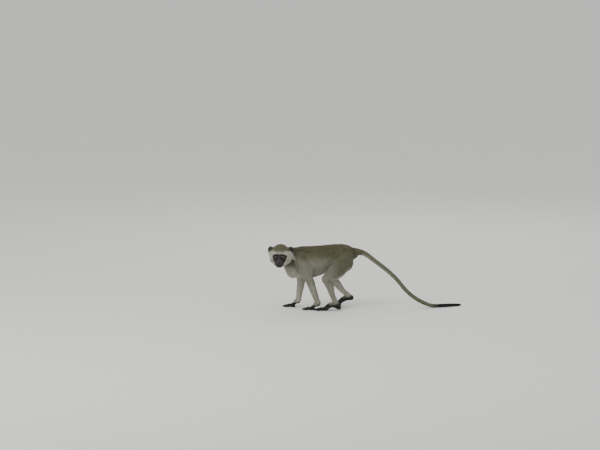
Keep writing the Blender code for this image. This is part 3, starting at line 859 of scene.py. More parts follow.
@dataclass
class Face:
    """The folds of the face: eyelids, nostrils and mouth.

    Attributes:
        place: where things are.
        lid_reach: how far about an eye the lids shape the skin, in millimetres.
        lid_thickness: how far the lids stand off the eyeball, in millimetres.
        opening: half the width of the eye's opening, then its height above and below the middle.
    """

    place: Place
    lid_reach: float = 6.5
    lid_thickness: float = 0.75
    opening: Point = (7.0, 4.1, 3.7)

    def sculpt(self, mesh: bpy.types.Mesh) -> None:
        """Shapes the face in a skin mesh.

        Args:
            mesh: the skin's mesh, which is changed.
        """
        head = self.place.to_head(points_of(mesh))
        normals = normals_of(mesh) @ np.array(self.place.turn)
        self.mouth(head, normals)
        self.nostrils(head, normals)
        for eye in self.place.eyes:
            self.lids(head, self.place.to_head(np.array([eye]))[0])
        move_points(mesh, self.place.from_head(head))

    def lids(self, head: Array, eye: Array) -> None:
        """Opens one eye and lays its lids on the eyeball.

        Args:
            head: all the points in head millimetres, which are changed.
            eye: the eye's middle in head millimetres.
        """
        radius = PLAN.eye_radius / MM
        side = math.copysign(1.0, eye[0])
        away = head - eye
        reach = np.linalg.norm(away, axis=1)
        near = (away[:, 1] > -1.0) & (reach < radius + 7.0) & (reach > radius - 6.5)
        part = away[near]
        out = part[:, 0] * side
        up = part[:, 2] - 0.09 * out
        half, high, low = self.opening
        arch = np.clip(1.0 - (np.abs(out + 0.3) / half) ** 2.0, 0.0, 1.0) ** 0.75
        beyond = np.maximum(np.abs(out + 0.3) - half, 0.0)
        inside = np.minimum(high * arch - up, up + low * arch) - beyond
        length = np.linalg.norm(part, axis=1)
        way = part / length[:, None]
        rim = radius + self.lid_thickness + 0.45 * np.exp(-(((inside + 0.9) / 0.7) ** 2))
        crease = 0.55 * np.exp(-(((inside + 3.1) / 0.75) ** 2)) * (up > 0) + 0.35 * np.exp(
            -(((inside + 3.4) / 0.8) ** 2)) * (up <= 0)
        lid = rim - crease
        pull = smoothstep(-self.lid_reach, -1.6, inside)
        outside = length + (lid - length) * pull
        hollow = radius - 2.2
        mix = smoothstep(-0.22, 0.30, inside)
        target = outside * (1 - mix) + hollow * mix
        head[near] = eye + way * target[:, None]

    def nostrils(self, head: Array, normals: Array) -> None:
        """Presses two slanting nostrils into the nose tip.

        Args:
            head: all the points in head millimetres, which are changed.
            normals: their normals in head axes.
        """
        across, forward, up = np.abs(head[:, 0]), head[:, 1], head[:, 2]
        line = (across - 3.4) * 0.55 + (up + 26.2)
        along = (across - 3.4) - (up + 26.2) * 0.55
        pit = np.exp(-((line / 1.25) ** 2) - (along / 2.3) ** 2) * (forward > 52)
        head -= normals * (2.3 * pit)[:, None]
        groove = np.exp(-((head[:, 0] / 0.8) ** 2)) * smoothstep(-36.0, -33.0, up) * smoothstep(-25.5, -28.0, up)
        head -= normals * (0.45 * groove * (forward > 50))[:, None]

    def mouth(self, head: Array, normals: Array) -> None:
        """Draws the line of the closed mouth round the muzzle.

        Args:
            head: all the points in head millimetres, which are changed.
            normals: their normals in head axes.
        """
        across, forward, up = np.abs(head[:, 0]), head[:, 1], head[:, 2]
        level = -37.6 - 0.010 * across + 0.0035 * across**2
        fade = smoothstep(20.5, 16.0, across) * smoothstep(30.0, 36.0, forward)
        line = np.exp(-(((up - level) / 0.75) ** 2)) * fade
        lips = np.exp(-(((up - level) / 2.6) ** 2)) * fade
        head += normals * (0.7 * lips - 1.9 * line)[:, None]


@dataclass
class Hand:
    """A hand flat on its fingers.

    Attributes:
        side: -1 for the left, +1 for the right.
        place: where things are.
        reaches: each finger's length past its knuckle, from the little finger's side, in metres.
    """

    side: int
    place: Place
    reaches: tuple[float, ...] = (0.0320, 0.0375, 0.0365, 0.0305)
    limb: str = "arm"
    spread: float = 0.0078
    digit_radius: float = 0.0043

    def knuckle_line(self) -> tuple[Vector, Vector, Vector]:
        """The joint above the wrist, the wrist and the middle of the knuckles.

        Returns:
            The three plan points.
        """
        _, elbow, wrist = PLAN.joints(self.limb, self.side)
        front = wrist + Vector((-0.033, self.side * 0.002, 0.0080 - wrist.z))
        return elbow, wrist, front

    def digits(self) -> list[tuple[Vector, Vector]]:
        """Each finger's knuckle and tip, then the thumb's.

        Returns:
            Each digit's root and tip, in plan metres.
        """
        _, wrist, front = self.knuckle_line()
        found = []
        for k, reach in enumerate(self.reaches):
            across = (k - 1.5) * self.spread
            knuckle = front + Vector((0.003 * abs(k - 1.4), self.side * across, 0.0))
            tip = knuckle + Vector((-reach, self.side * across * 0.45, 0.0036 - knuckle.z))
            found.append((knuckle, tip))
        root = wrist.lerp(front, 0.30) + Vector((0.0, -self.side * 0.011, -0.004))
        found.append((root, root + Vector((-0.016, -self.side * 0.011, 0.0034 - root.z))))
        return found

    def digit(self, root: Vector, tip: Vector, radius: float, arch: float) -> list[bpy.types.Object]:
        """One finger: a tapered tube with a swelling at each joint and a pad under its tip.

        Args:
            root: where it starts, in plan metres.
            tip: where it ends.
            radius: its usual radius.
            arch: how far its middle is raised.

        Returns:
            Its masses.
        """
        middle = root.lerp(tip, 0.45) + Vector((0.0, 0.0, arch))
        near = root.lerp(tip, 0.80) + Vector((0.0, 0.0, arch * 0.25))
        line = ((root, 1.12), (root.lerp(middle, 0.5), 0.92), (middle, 1.02), (middle.lerp(near, 0.5), 0.88),
                (near, 0.94), (tip, 0.78))
        made = tube([(*self.place.body(point), radius * share) for point, share in line])
        pad = self.place.body(tip + Vector((0.003, 0.0, -0.0002)))
        made.append(ball(pad, (radius * 1.15, radius * 0.86, radius * 0.72), None, 20))
        return made

    def masses(self) -> list[bpy.types.Object]:
        """The palm, wrist and fingers.

        Returns:
            The masses of the hand.
        """
        elbow, wrist, front = self.knuckle_line()
        up_arm = (elbow - wrist).normalized()
        heel = wrist.lerp(front, 0.35)
        line = ((wrist + up_arm * 0.030, 0.0100), (wrist + up_arm * 0.012, 0.0103), (wrist, 0.0108), (heel, 0.0100))
        made = tube([(*self.place.body(point), radius) for point, radius in line])
        for k, (knuckle, tip) in enumerate(self.digits()[:4]):
            across = (k - 1.5) * self.spread
            start = wrist.lerp(front, 0.18) + Vector((0.0, self.side * across * 0.62, 0.0))
            bone = ((start, 0.0078), (start.lerp(knuckle, 0.6), 0.0066), (knuckle, 0.0058))
            made += tube([(*self.place.body(point), radius) for point, radius in bone])
            made += self.digit(knuckle, tip, self.digit_radius, 0.0022)
        made += self.digit(*self.digits()[4], self.digit_radius * 0.92, 0.0030)
        palm = self.place.body(front + Vector((0.006, 0.0, -0.0015)))
        made.append(ball(palm, (0.0135, 0.0145, 0.0078), None, 24))
        return made


@dataclass
class Foot(Hand):
    """A long foot with a big toe that stands off."""

    reaches: tuple[float, ...] = (0.0370, 0.0415, 0.0400, 0.0340)
    limb: str = "leg"
    spread: float = 0.0080
    digit_radius: float = 0.0045

    def knuckle_line(self) -> tuple[Vector, Vector, Vector]:
        """The knee, the ankle and the middle of the ball of the foot."""
        _, knee, ankle = PLAN.joints(self.limb, self.side)
        return knee, ankle, Vector((ankle.x - 0.056, ankle.y + self.side * 0.002, 0.0085))

    def digits(self) -> list[tuple[Vector, Vector]]:
        """Each toe's knuckle and tip, then the big toe's.

        Returns:
            Each digit's root and tip, in plan metres.
        """
        _, ankle, front = self.knuckle_line()
        found = []
        for k, reach in enumerate(self.reaches):
            across = (k - 1.5) * self.spread
            knuckle = front + Vector((0.004 * abs(k - 1.3), self.side * across, 0.0))
            tip = knuckle + Vector((-reach, self.side * across * 0.40, 0.0038 - knuckle.z))
            found.append((knuckle, tip))
        root = ankle.lerp(front, 0.62) + Vector((0.0, -self.side * 0.010, -0.004))
        found.append((root, root + Vector((-0.024, -self.side * 0.020, 0.0042 - root.z))))
        return found

    def masses(self) -> list[bpy.types.Object]:
        """The heel, instep and toes.

        Returns:
            The masses of the foot.
        """
        knee, ankle, front = self.knuckle_line()
        up_leg = (knee - ankle).normalized()
        lift = PLAN.heel_lift[0 if self.side < 0 else 1]
        heel = ankle + Vector((0.015, 0.0, 0.0130 + lift - ankle.z))
        back = ((ankle + up_leg * 0.030, 0.0094), (ankle + up_leg * 0.010, 0.0102), (ankle, 0.0108),
                (ankle.lerp(heel, 0.6), 0.0108), (heel, 0.0098))
        instep = ((heel, 0.0098), (ankle.lerp(front, 0.3), 0.0124), (ankle.lerp(front, 0.7), 0.0106))
        made = tube([(*self.place.body(point), radius) for point, radius in back])
        made += tube([(*self.place.body(point), radius) for point, radius in instep])
        for k, (knuckle, tip) in enumerate(self.digits()[:4]):
            across = (k - 1.5) * self.spread
            start = ankle.lerp(front, 0.35) + Vector((0.0, self.side * across * 0.60, -0.002))
            bone = ((start, 0.0082), (start.lerp(knuckle, 0.6), 0.0069), (knuckle, 0.0060))
            made += tube([(*self.place.body(point), radius) for point, radius in bone])
            made += self.digit(knuckle, tip, self.digit_radius, 0.0024)
        made += self.digit(*self.digits()[4], self.digit_radius * 1.12, 0.0030)
        pad = self.place.body(front + Vector((0.008, 0.0, -0.0015)))
        made.append(ball(pad, (0.0162, 0.0155, 0.0082), None, 24))
        return made


@dataclass
class Ear:
    """A cupped ear with a rolled rim and an inner fold.

    Attributes:
        side: +1 for the right, -1 for the left.
        place: where things are.
        centre: its middle in head millimetres, on the right.
        half: its half sizes.
        tilt: how far it turns its cup outwards, in degrees.
    """

    side: int
    place: Place
    centre: Point = (45.5, -6.0, 23.0)
    half: Point = (15.0, 6.6, 19.0)
    tilt: float = 24.0

    def build(self) -> bpy.types.Object:
        """Models the ear: a shell, its hollow, the inner fold and a root that ties it to the skull.

        Returns:
            The ear.
        """
        shell = self.piece((0, 0, 0), self.half)
        hollow = self.piece((2.5, 6.2, 0.0), (11.6, 6.6, 15.2))
        activate(shell)
        cut = shell.modifiers.new("cut", "BOOLEAN")
        cut.operation = "DIFFERENCE"
        cut.object = hollow
        bpy.ops.object.modifier_apply(modifier=cut.name)
        bpy.data.objects.remove(hollow)
        fold = self.piece((1.0, 0.4, 5.0), (7.5, 1.8, 1.5))
        lobe = self.piece((-5.0, 1.2, -9.5), (5.5, 3.4, 4.5))
        root = self.piece((-14.0, -2.0, -3.0), (12.0, 6.0, 12.0))
        return joined([shell, fold, lobe, root], "ear")

    def piece(self, centre: Point, half: Point) -> bpy.types.Object:
        """An ellipsoid in the ear's own frame, in millimetres.

        Args:
            centre: its middle from the ear's middle.
            half: its half sizes.

        Returns:
            The ellipsoid.
        """
        spin = Matrix.Rotation(math.radians(-self.tilt * self.side), 3, "Z")
        local = spin @ Vector((centre[0] * self.side, centre[1], centre[2]))
        middle = Vector((self.centre[0] * self.side, self.centre[1], self.centre[2])) + local
        return ball(self.place.face(middle), [size * MM for size in half], self.place.turn @ spin, 48)


# ---- Finishes ----
def linear(colour: str) -> tuple[float, float, float, float]:
    """An sRGB hex colour as linear values with full alpha."""
    values = [int(colour[k:k + 2], 16) / 255 for k in (1, 3, 5)]
    return (*[v / 12.92 if v <= 0.04045 else ((v + 0.055) / 1.055) ** 2.4 for v in values], 1.0)


def add(tree: bpy.types.NodeTree, kind: str, links: dict[str | int, object] | None = None,
        **settings: object) -> bpy.types.Node:
    """Adds a node.

    Args:
        tree: the material's node tree.
        kind: the node's type.
        links: for each input, a socket to link from or a value to set.
        **settings: properties of the node.

    Returns:
        The node.
    """
    node = tree.nodes.new(kind)
    for name, value in settings.items():
        setattr(node, name, value)
    for key, value in (links or {}).items():
        if isinstance(value, bpy.types.NodeSocket):
            tree.links.new(value, node.inputs[key])
        else:
            node.inputs[key].default_value = value
    return node


def start_material(name: str) -> tuple[bpy.types.Material, bpy.types.NodeTree, bpy.types.Node]:
    """A new material, its node tree and its shader.

    Args:
        name: the material's name.

    Returns:
        The material, its tree and its shader.
    """
    material = bpy.data.materials.new(name)
    material.use_nodes = True
    return material, material.node_tree, material.node_tree.nodes["Principled BSDF"]


def ramp(tree: bpy.types.NodeTree, value: bpy.types.NodeSocket,
         stops: Sequence[tuple[float, str]]) -> bpy.types.NodeSocket:
    """A colour ramp over a value, with its stops as (place, hex colour).

    Args:
        tree: the material's node tree.
        value: the value that picks the colour.
        stops: the places, from 0 to 1, and colours.

    Returns:
        The colour.
    """
    node = add(tree, "ShaderNodeValToRGB", {0: value})
    elements = node.color_ramp.elements
    while len(elements) < len(stops):
        elements.new(0.5)
    for element, (position, colour) in zip(elements, stops):
        element.position = position
        element.color = linear(colour)
    return node.outputs["Color"]


def mix(tree: bpy.types.NodeTree, factor: object, first: object, second: object,
        blend: str = "MIX") -> bpy.types.NodeSocket:
    """Two colours mixed by a factor.

    Args:
        tree: the material's node tree.
        factor: how much of the second there is, as a socket or a number.
        first: the first colour, as a socket or a value.
        second: the second colour.
        blend: how the two are blended.

    Returns:
        The mixed colour.
    """
    node = add(tree, "ShaderNodeMix", {"Factor": factor}, data_type="RGBA", blend_type=blend)
    for name, value in (("A", first), ("B", second)):
        socket = next(s for s in node.inputs if s.name == name and s.type == "RGBA")
        if isinstance(value, bpy.types.NodeSocket):
            tree.links.new(value, socket)
        else:
            socket.default_value = value
    return next(s for s in node.outputs if s.type == "RGBA")


@dataclass(frozen=True)
class FurFinish:
    """Hair of the coat. Each hair is banded from root to tip, which gives the grizzled look of olive and grey.

    Attributes:
        olive: the bands of the back's hair, as (place from root to tip, colour).
        grey: the bands of the limbs' and flanks' hair.
        white: the bands of the brow, cheeks and underside.
        black: the bands of the hands, feet and tail's end.
        warm: the tint that the back takes.
    """

    name: str = "banded_guard_hair"
    olive: tuple[tuple[float, str], ...] = (
        (0.0, "#33322a"), (0.35, "#4f4c3a"), (0.62, "#787354"), (0.82, "#615d46"), (1.0, "#302e25"))
    grey: tuple[tuple[float, str], ...] = (
        (0.0, "#3f4036"), (0.35, "#58594a"), (0.62, "#7d7e66"), (0.82, "#686955"), (1.0, "#3a3b31"))
    white: tuple[tuple[float, str], ...] = ((0.0, "#85837a"), (0.4, "#adab9c"), (1.0, "#c9c7b8"))
    black: tuple[tuple[float, str], ...] = ((0.0, "#100f0f"), (0.6, "#1a1918"), (1.0, "#262422"))
    warm: str = "#8a7a52"
    roughness: float = 0.62

    def make(self) -> bpy.types.Material:
        """Builds the material.

        Returns:
            The material.
        """
        material, tree, shader = start_material(self.name)
        coat = add(tree, "ShaderNodeAttribute", attribute_name="coat").outputs["Color"]
        marks = add(tree, "ShaderNodeAttribute", attribute_name="marks")
        split = add(tree, "ShaderNodeSeparateColor", {0: coat})
        areas = add(tree, "ShaderNodeSeparateColor", {0: marks.outputs["Color"]})
        along = split.outputs[0]
        base = mix(tree, areas.outputs[2], ramp(tree, along, self.olive), ramp(tree, along, self.grey))
        base = mix(tree, areas.outputs[1], base, ramp(tree, along, self.white))
        base = mix(tree, areas.outputs[0], base, ramp(tree, along, self.black))
        tint = add(tree, "ShaderNodeMath", {0: marks.outputs["Alpha"], 1: 0.10}, operation="MULTIPLY").outputs[0]
        base = mix(tree, tint, base, linear(self.warm), "OVERLAY")
        shade = add(tree, "ShaderNodeMapRange", {0: split.outputs[1], 3: 0.66, 4: 1.34}).outputs[0]
        bright = add(tree, "ShaderNodeVectorMath", {0: base, 3: shade}, operation="SCALE").outputs[0]
        tree.links.new(bright, shader.inputs["Base Color"])
        shader.inputs["Roughness"].default_value = self.roughness
        shader.inputs["Specular IOR Level"].default_value = 0.28
        shader.inputs["Sheen Weight"].default_value = 0.12
        shader.inputs["Sheen Roughness"].default_value = 0.5
        return material


@dataclass(frozen=True)
class SkinFinish:
    """Black, finely wrinkled bare skin, and the coat's shaded roots where hair grows.

    Attributes:
        bare: the face's, hands' and ears' skin.
        lighter: what it turns to in patches.
        under: the colour between the hairs of each marking.
    """

    name: str = "wrinkled_black_skin"
    bare: str = "#1b1817"
    lighter: str = "#2b2624"
    olive: str = "#4a4534"
    grey: str = "#57554a"
    white: str = "#8d8a7d"
    wrinkle_mm: float = 1.6
    grain_mm: float = 0.45

    def make(self) -> bpy.types.Material:
        """Builds the material.

        Returns:
            The material.
        """
        material, tree, shader = start_material(self.name)
        where = add(tree, "ShaderNodeTexCoord").outputs["Object"]
        marks = add(tree, "ShaderNodeAttribute", attribute_name="marks")
        areas = add(tree, "ShaderNodeSeparateColor", {0: marks.outputs["Color"]})
        patches = add(tree, "ShaderNodeTexNoise", {"Vector": where, "Scale": 110.0, "Detail": 3.0}).outputs[0]
        skin = mix(tree, patches, linear(self.bare), linear(self.lighter))
        base = mix(tree, areas.outputs[2], linear(self.olive), linear(self.grey))
        base = mix(tree, areas.outputs[1], base, linear(self.white))
        base = mix(tree, areas.outputs[0], base, skin)
        tree.links.new(base, shader.inputs["Base Color"])
        folds = add(tree, "ShaderNodeTexVoronoi", {"Vector": where, "Scale": 1 / (self.wrinkle_mm * MM)},
                    feature="DISTANCE_TO_EDGE").outputs[0]
        grain = add(tree, "ShaderNodeTexNoise", {"Vector": where, "Scale": 1 / (self.grain_mm * MM),
                                                 "Detail": 4.0}).outputs[0]
        first = add(tree, "ShaderNodeBump", {"Strength": 0.35, "Distance": 0.0004, "Height": folds}).outputs[0]
        second = add(tree, "ShaderNodeBump", {"Strength": 0.30, "Distance": 0.0003, "Height": grain,
                                              "Normal": first}).outputs[0]
        tree.links.new(second, shader.inputs["Normal"])
        dull = add(tree, "ShaderNodeMapRange", {0: patches, 3: 0.42, 4: 0.62}).outputs[0]
        tree.links.new(dull, shader.inputs["Roughness"])
        shader.inputs["Specular IOR Level"].default_value = 0.45
        return material


@dataclass(frozen=True)
class EyeFinish:
    """A wet eye: a round pupil in a brown iris with fine spokes, ringed dark, in a brown white of the eye."""

    name: str = "wet_eye"
    rings: tuple[tuple[float, str], ...] = (
        (0.0, "#050404"), (0.150, "#050404"), (0.175, "#2c170a"), (0.27, "#5e3816"), (0.36, "#40240f"),
        (0.41, "#150c07"), (0.50, "#1c1310"), (0.75, "#2a1e19"))

    def make(self) -> bpy.types.Material:
        """Builds the material.

        Returns:
            The material.
        """
        material, tree, shader = start_material(self.name)
        polar = add(tree, "ShaderNodeAttribute", attribute_name="polar").outputs["Color"]
        split = add(tree, "ShaderNodeSeparateColor", {0: polar})
        spokes = add(tree, "ShaderNodeTexNoise", {"Vector": polar, "Scale": 9.0, "Detail": 5.0}).outputs[0]
        colour = ramp(tree, split.outputs[0], self.rings)
        shade = add(tree, "ShaderNodeMapRange", {0: spokes, 1: 0.3, 2: 0.7, 3: 0.7, 4: 1.3}).outputs[0]
        bright = add(tree, "ShaderNodeVectorMath", {0: colour, 3: shade}, operation="SCALE").outputs[0]
        tree.links.new(bright, shader.inputs["Base Color"])
        shader.inputs["Roughness"].default_value = 0.12
        shader.inputs["Coat Weight"].default_value = 1.0
        shader.inputs["Coat Roughness"].default_value = 0.02
        shader.inputs["IOR"].default_value = 1.38
        return material


@dataclass(frozen=True)
class NailFinish:
    """Dark horn with fine ridges along the nail."""

    name: str = "dark_horn"
    colour: str = "#201c1a"
    ridge: str = "#3a332e"
    ridge_mm: float = 0.5

    def make(self) -> bpy.types.Material:
        """Builds the material.

        Returns:
            The material.
        """
        material, tree, shader = start_material(self.name)
        where = add(tree, "ShaderNodeTexCoord").outputs["Object"]
        lines = add(tree, "ShaderNodeMapping", {"Vector": where, "Scale": (80.0, 1 / (self.ridge_mm * MM), 80.0)})
        noise = add(tree, "ShaderNodeTexNoise", {"Vector": lines.outputs[0], "Scale": 1.0}).outputs[0]
        colour = mix(tree, noise, linear(self.colour), linear(self.ridge))
        tree.links.new(colour, shader.inputs["Base Color"])
        shader.inputs["Roughness"].default_value = 0.32
        return material


@dataclass(frozen=True)
class FloorFinish:
    """Matt painted studio floor."""

    name: str = "studio_floor"
    colour: str = "#e6e4df"

    def make(self) -> bpy.types.Material:
        """Builds the material.

        Returns:
            The material.
        """
        material, _, shader = start_material(self.name)
        shader.inputs["Base Color"].default_value = linear(self.colour)
        shader.inputs["Roughness"].default_value = 0.9
        return material


# ---- Eyes and nails ----
@dataclass
class Eyeball:
    """An eyeball with a cornea that stands proud of it.

    Attributes:
        side: -1 for the left, +1 for the right.
        place: where things are.
        cornea: the cornea's bulge and half width, in millimetres.
        gaze: the way it looks, in head axes.
    """

    side: int
    place: Place
    cornea: tuple[float, float] = (0.55, 5.6)
    gaze: Point = (0.03, 1.0, -0.02)

    def build(self, material: bpy.types.Material) -> bpy.types.Object:
        """Models the eye and writes each point's place on it for the iris.

        Args:
            material: the eye's material.

        Returns:
            The eyeball.
        """
        centre = self.place.eyes[0 if self.side < 0 else 1]
        turn = self.place.turn @ Vector((0, 0, 1)).rotation_difference(Vector(self.gaze)).to_matrix()
        item = ball(centre, (PLAN.eye_radius,) * 3, turn, 96)
        item.name = "eyeball_left" if self.side < 0 else "eyeball_right"
        local = (points_of(item.data) - np.array(centre)) @ np.array(turn) / MM
        radius = PLAN.eye_radius / MM
        rim = np.hypot(local[:, 0], local[:, 1])
        rise = self.cornea[0] * np.clip(1 - (rim / self.cornea[1]) ** 2, 0, 1) ** 1.5 * (local[:, 2] > 0)
        local *= (1 + rise / radius)[:, None]
        move_points(item.data, local * MM @ np.array(turn).T + np.array(centre))
        angle = np.arctan2(rim, local[:, 2]) / (math.pi / 2)
        round_about = np.arctan2(local[:, 1], local[:, 0])
        polar = np.stack([np.clip(angle, 0, 1), 0.5 + 0.5 * np.cos(round_about), 0.5 + 0.5 * np.sin(round_about),
                          np.ones(len(angle))], axis=1)
        item.data.attributes.new("polar", "FLOAT_COLOR", "POINT").data.foreach_set("color", polar.ravel())
        item.data.materials.clear()
        item.data.materials.append(material)
        item.data.shade_smooth()
        return item


@dataclass
class Nails:
    """The nails of one hand or foot: curved plates on the backs of the tips."""

    paw: Hand
    name: str
    half: Point = (3.4, 2.3, 1.0)

    def build(self, material: bpy.types.Material) -> bpy.types.Object:
        """Models one plate on each digit and joins them.

        Args:
            material: the nails' material.

        Returns:
            The joined nails.
        """
        made = []
        for root, tip in self.paw.digits():
            way = (tip - root).normalized()
            level = Vector((way.x, way.y, -0.20)).normalized()
            side = level.cross(Vector((0, 0, 1))).normalized()
            turn = Matrix((level, side, side.cross(level) * -1)).transposed()
            if turn.determinant() < 0:
                turn = Matrix((level, side * -1, side.cross(level) * -1)).transposed()
            centre = self.paw.place.body(tip + level * 0.0006 + Vector((0, 0, 0.0030)))
            made.append(ball(centre, [size * MM for size in self.half], turn, 24))
        item = joined(made, self.name)
        item.data.materials.clear()
        item.data.materials.append(material)
        item.data.shade_smooth()
        return item


# ---- The coat ----
@dataclass
class SkinFields:
    """The skin's triangles and what the coat does at each of its vertices."""

    skin: bpy.types.Object
    coatline: Coatline
    markings: Markings

    def __post_init__(self) -> None:
        """Reads the skin once, for every coat piece."""
        mesh = self.skin.data
        mesh.calc_loop_triangles()
        corners = np.empty(len(mesh.loop_triangles) * 3, dtype=np.int32)
        mesh.loop_triangles.foreach_get("vertices", corners)
        self.triangles = corners.reshape(-1, 3)
        self.points = points_of(mesh)
        self.normals = normals_of(mesh)
        along, self.hair, self.region = self.coatline.read(self.points)
        along -= self.normals * np.sum(along * self.normals, axis=1, keepdims=True)
        self.along = unit(along)
        self.marks, self.bare = self.markings.read(self.points, self.normals)
        ears = self.markings.ears(self.coatline.place.to_head(self.points))[:, None]
        head = self.coatline.place.to_head(self.points)
        rim = smoothstep(-12.0, 0.0, self.markings.inside_face(head))
        self.hair[:, :3] *= 1 - np.array((0.76, 0.70, 0.40)) * rim[:, None]
        self.hair[:, 3] *= 1 + 0.9 * rim
        self.hair = self.hair * (1 - ears) + np.array((EAR.length, EAR.depth, EAR.width, EAR.density)) * ears
        a, b, c = (self.points[self.triangles[:, k]] for k in range(3))
        self.areas = np.linalg.norm(np.cross(b - a, c - a), axis=1) / 2
        self.unwrap = self.unwrapped()
        self.tree = BVHTree.FromPolygons(self.points.tolist(), self.triangles.tolist())

    def unwrapped(self) -> Array:
        """Each vertex's place on an unwrap of its region's own shape, from 0 to 1.

        Returns:
            Two coordinates for each vertex.
        """
        place = self.coatline.place
        head = place.to_head(self.points)
        plan = self.points - np.array(place.shift)
        flat = np.zeros((len(plan), 2))
        back = np.arctan2(np.hypot(head[:, 0], head[:, 2]), -head[:, 1]) / math.pi
        turn = np.arctan2(head[:, 2], head[:, 0])
        flat[:] = 0.5 + 0.48 * (back * np.array([np.cos(turn), np.sin(turn)])).T
        for region in Region:
            chosen = self.region == region.value
            if region is Region.HEAD or not chosen.any():
                continue
            part = plan[chosen]
            if region in (Region.ARMS, Region.LEGS):
                limb = "arm" if region is Region.ARMS else "leg"
                flat[chosen] = self.limb_unwrap(part, limb)
                continue
            span = (part[:, 0] - part[:, 0].min()) / np.ptp(part[:, 0])
            axis = self.axis_height(part[:, 0])
            around = np.arctan2(part[:, 1], axis - part[:, 2]) / math.tau + 0.5
            flat[chosen] = np.stack([0.01 + 0.98 * span, 0.01 + 0.98 * around], axis=1)
        return np.clip(flat, 0.002, 0.998)

    @staticmethod
    def axis_height(x: Array) -> Array:
        """The height of the body's axis at each distance along it, from the neck to the tail's end.

        Args:
            x: distances along the body, in plan metres.

        Returns:
            The heights, in plan metres.
        """
        tail_x = [point[0] for point in PLAN.tail]
        tail_z = [point[2] for point in PLAN.tail]
        return np.interp(x, [-0.18, -0.05, 0.05, 0.12, *tail_x], [0.235, 0.215, 0.235, 0.245, *tail_z])

    @staticmethod
    def limb_unwrap(part: Array, limb: str) -> Array:
        """The unwrap of both limbs of a pair, the left in one half and the right in the other.

        Args:
            part: the limbs' points, in plan metres.
            limb: arm or leg.

        Returns:
            Two coordinates for each point.
        """
        flat = np.zeros((len(part), 2))
        for side in (-1, 1):
            joints = PLAN.joints(limb, side)
            here = (part[:, 1] * side) > 0
            heights = [joint.z for joint in reversed(joints)]
            centre_x = np.interp(part[here, 2], heights, [joint.x for joint in reversed(joints)])
            centre_y = np.interp(part[here, 2], heights, [joint.y for joint in reversed(joints)])
            around = np.arctan2(part[here, 1] - centre_y, part[here, 0] - centre_x) / math.tau + 0.5
            level = np.clip(part[here, 2] / 0.30, 0.0, 1.0)
            flat[here] = np.stack([0.01 + 0.47 * around + (0.5 if side > 0 else 0.0), 0.01 + 0.98 * level], axis=1)
        return flat


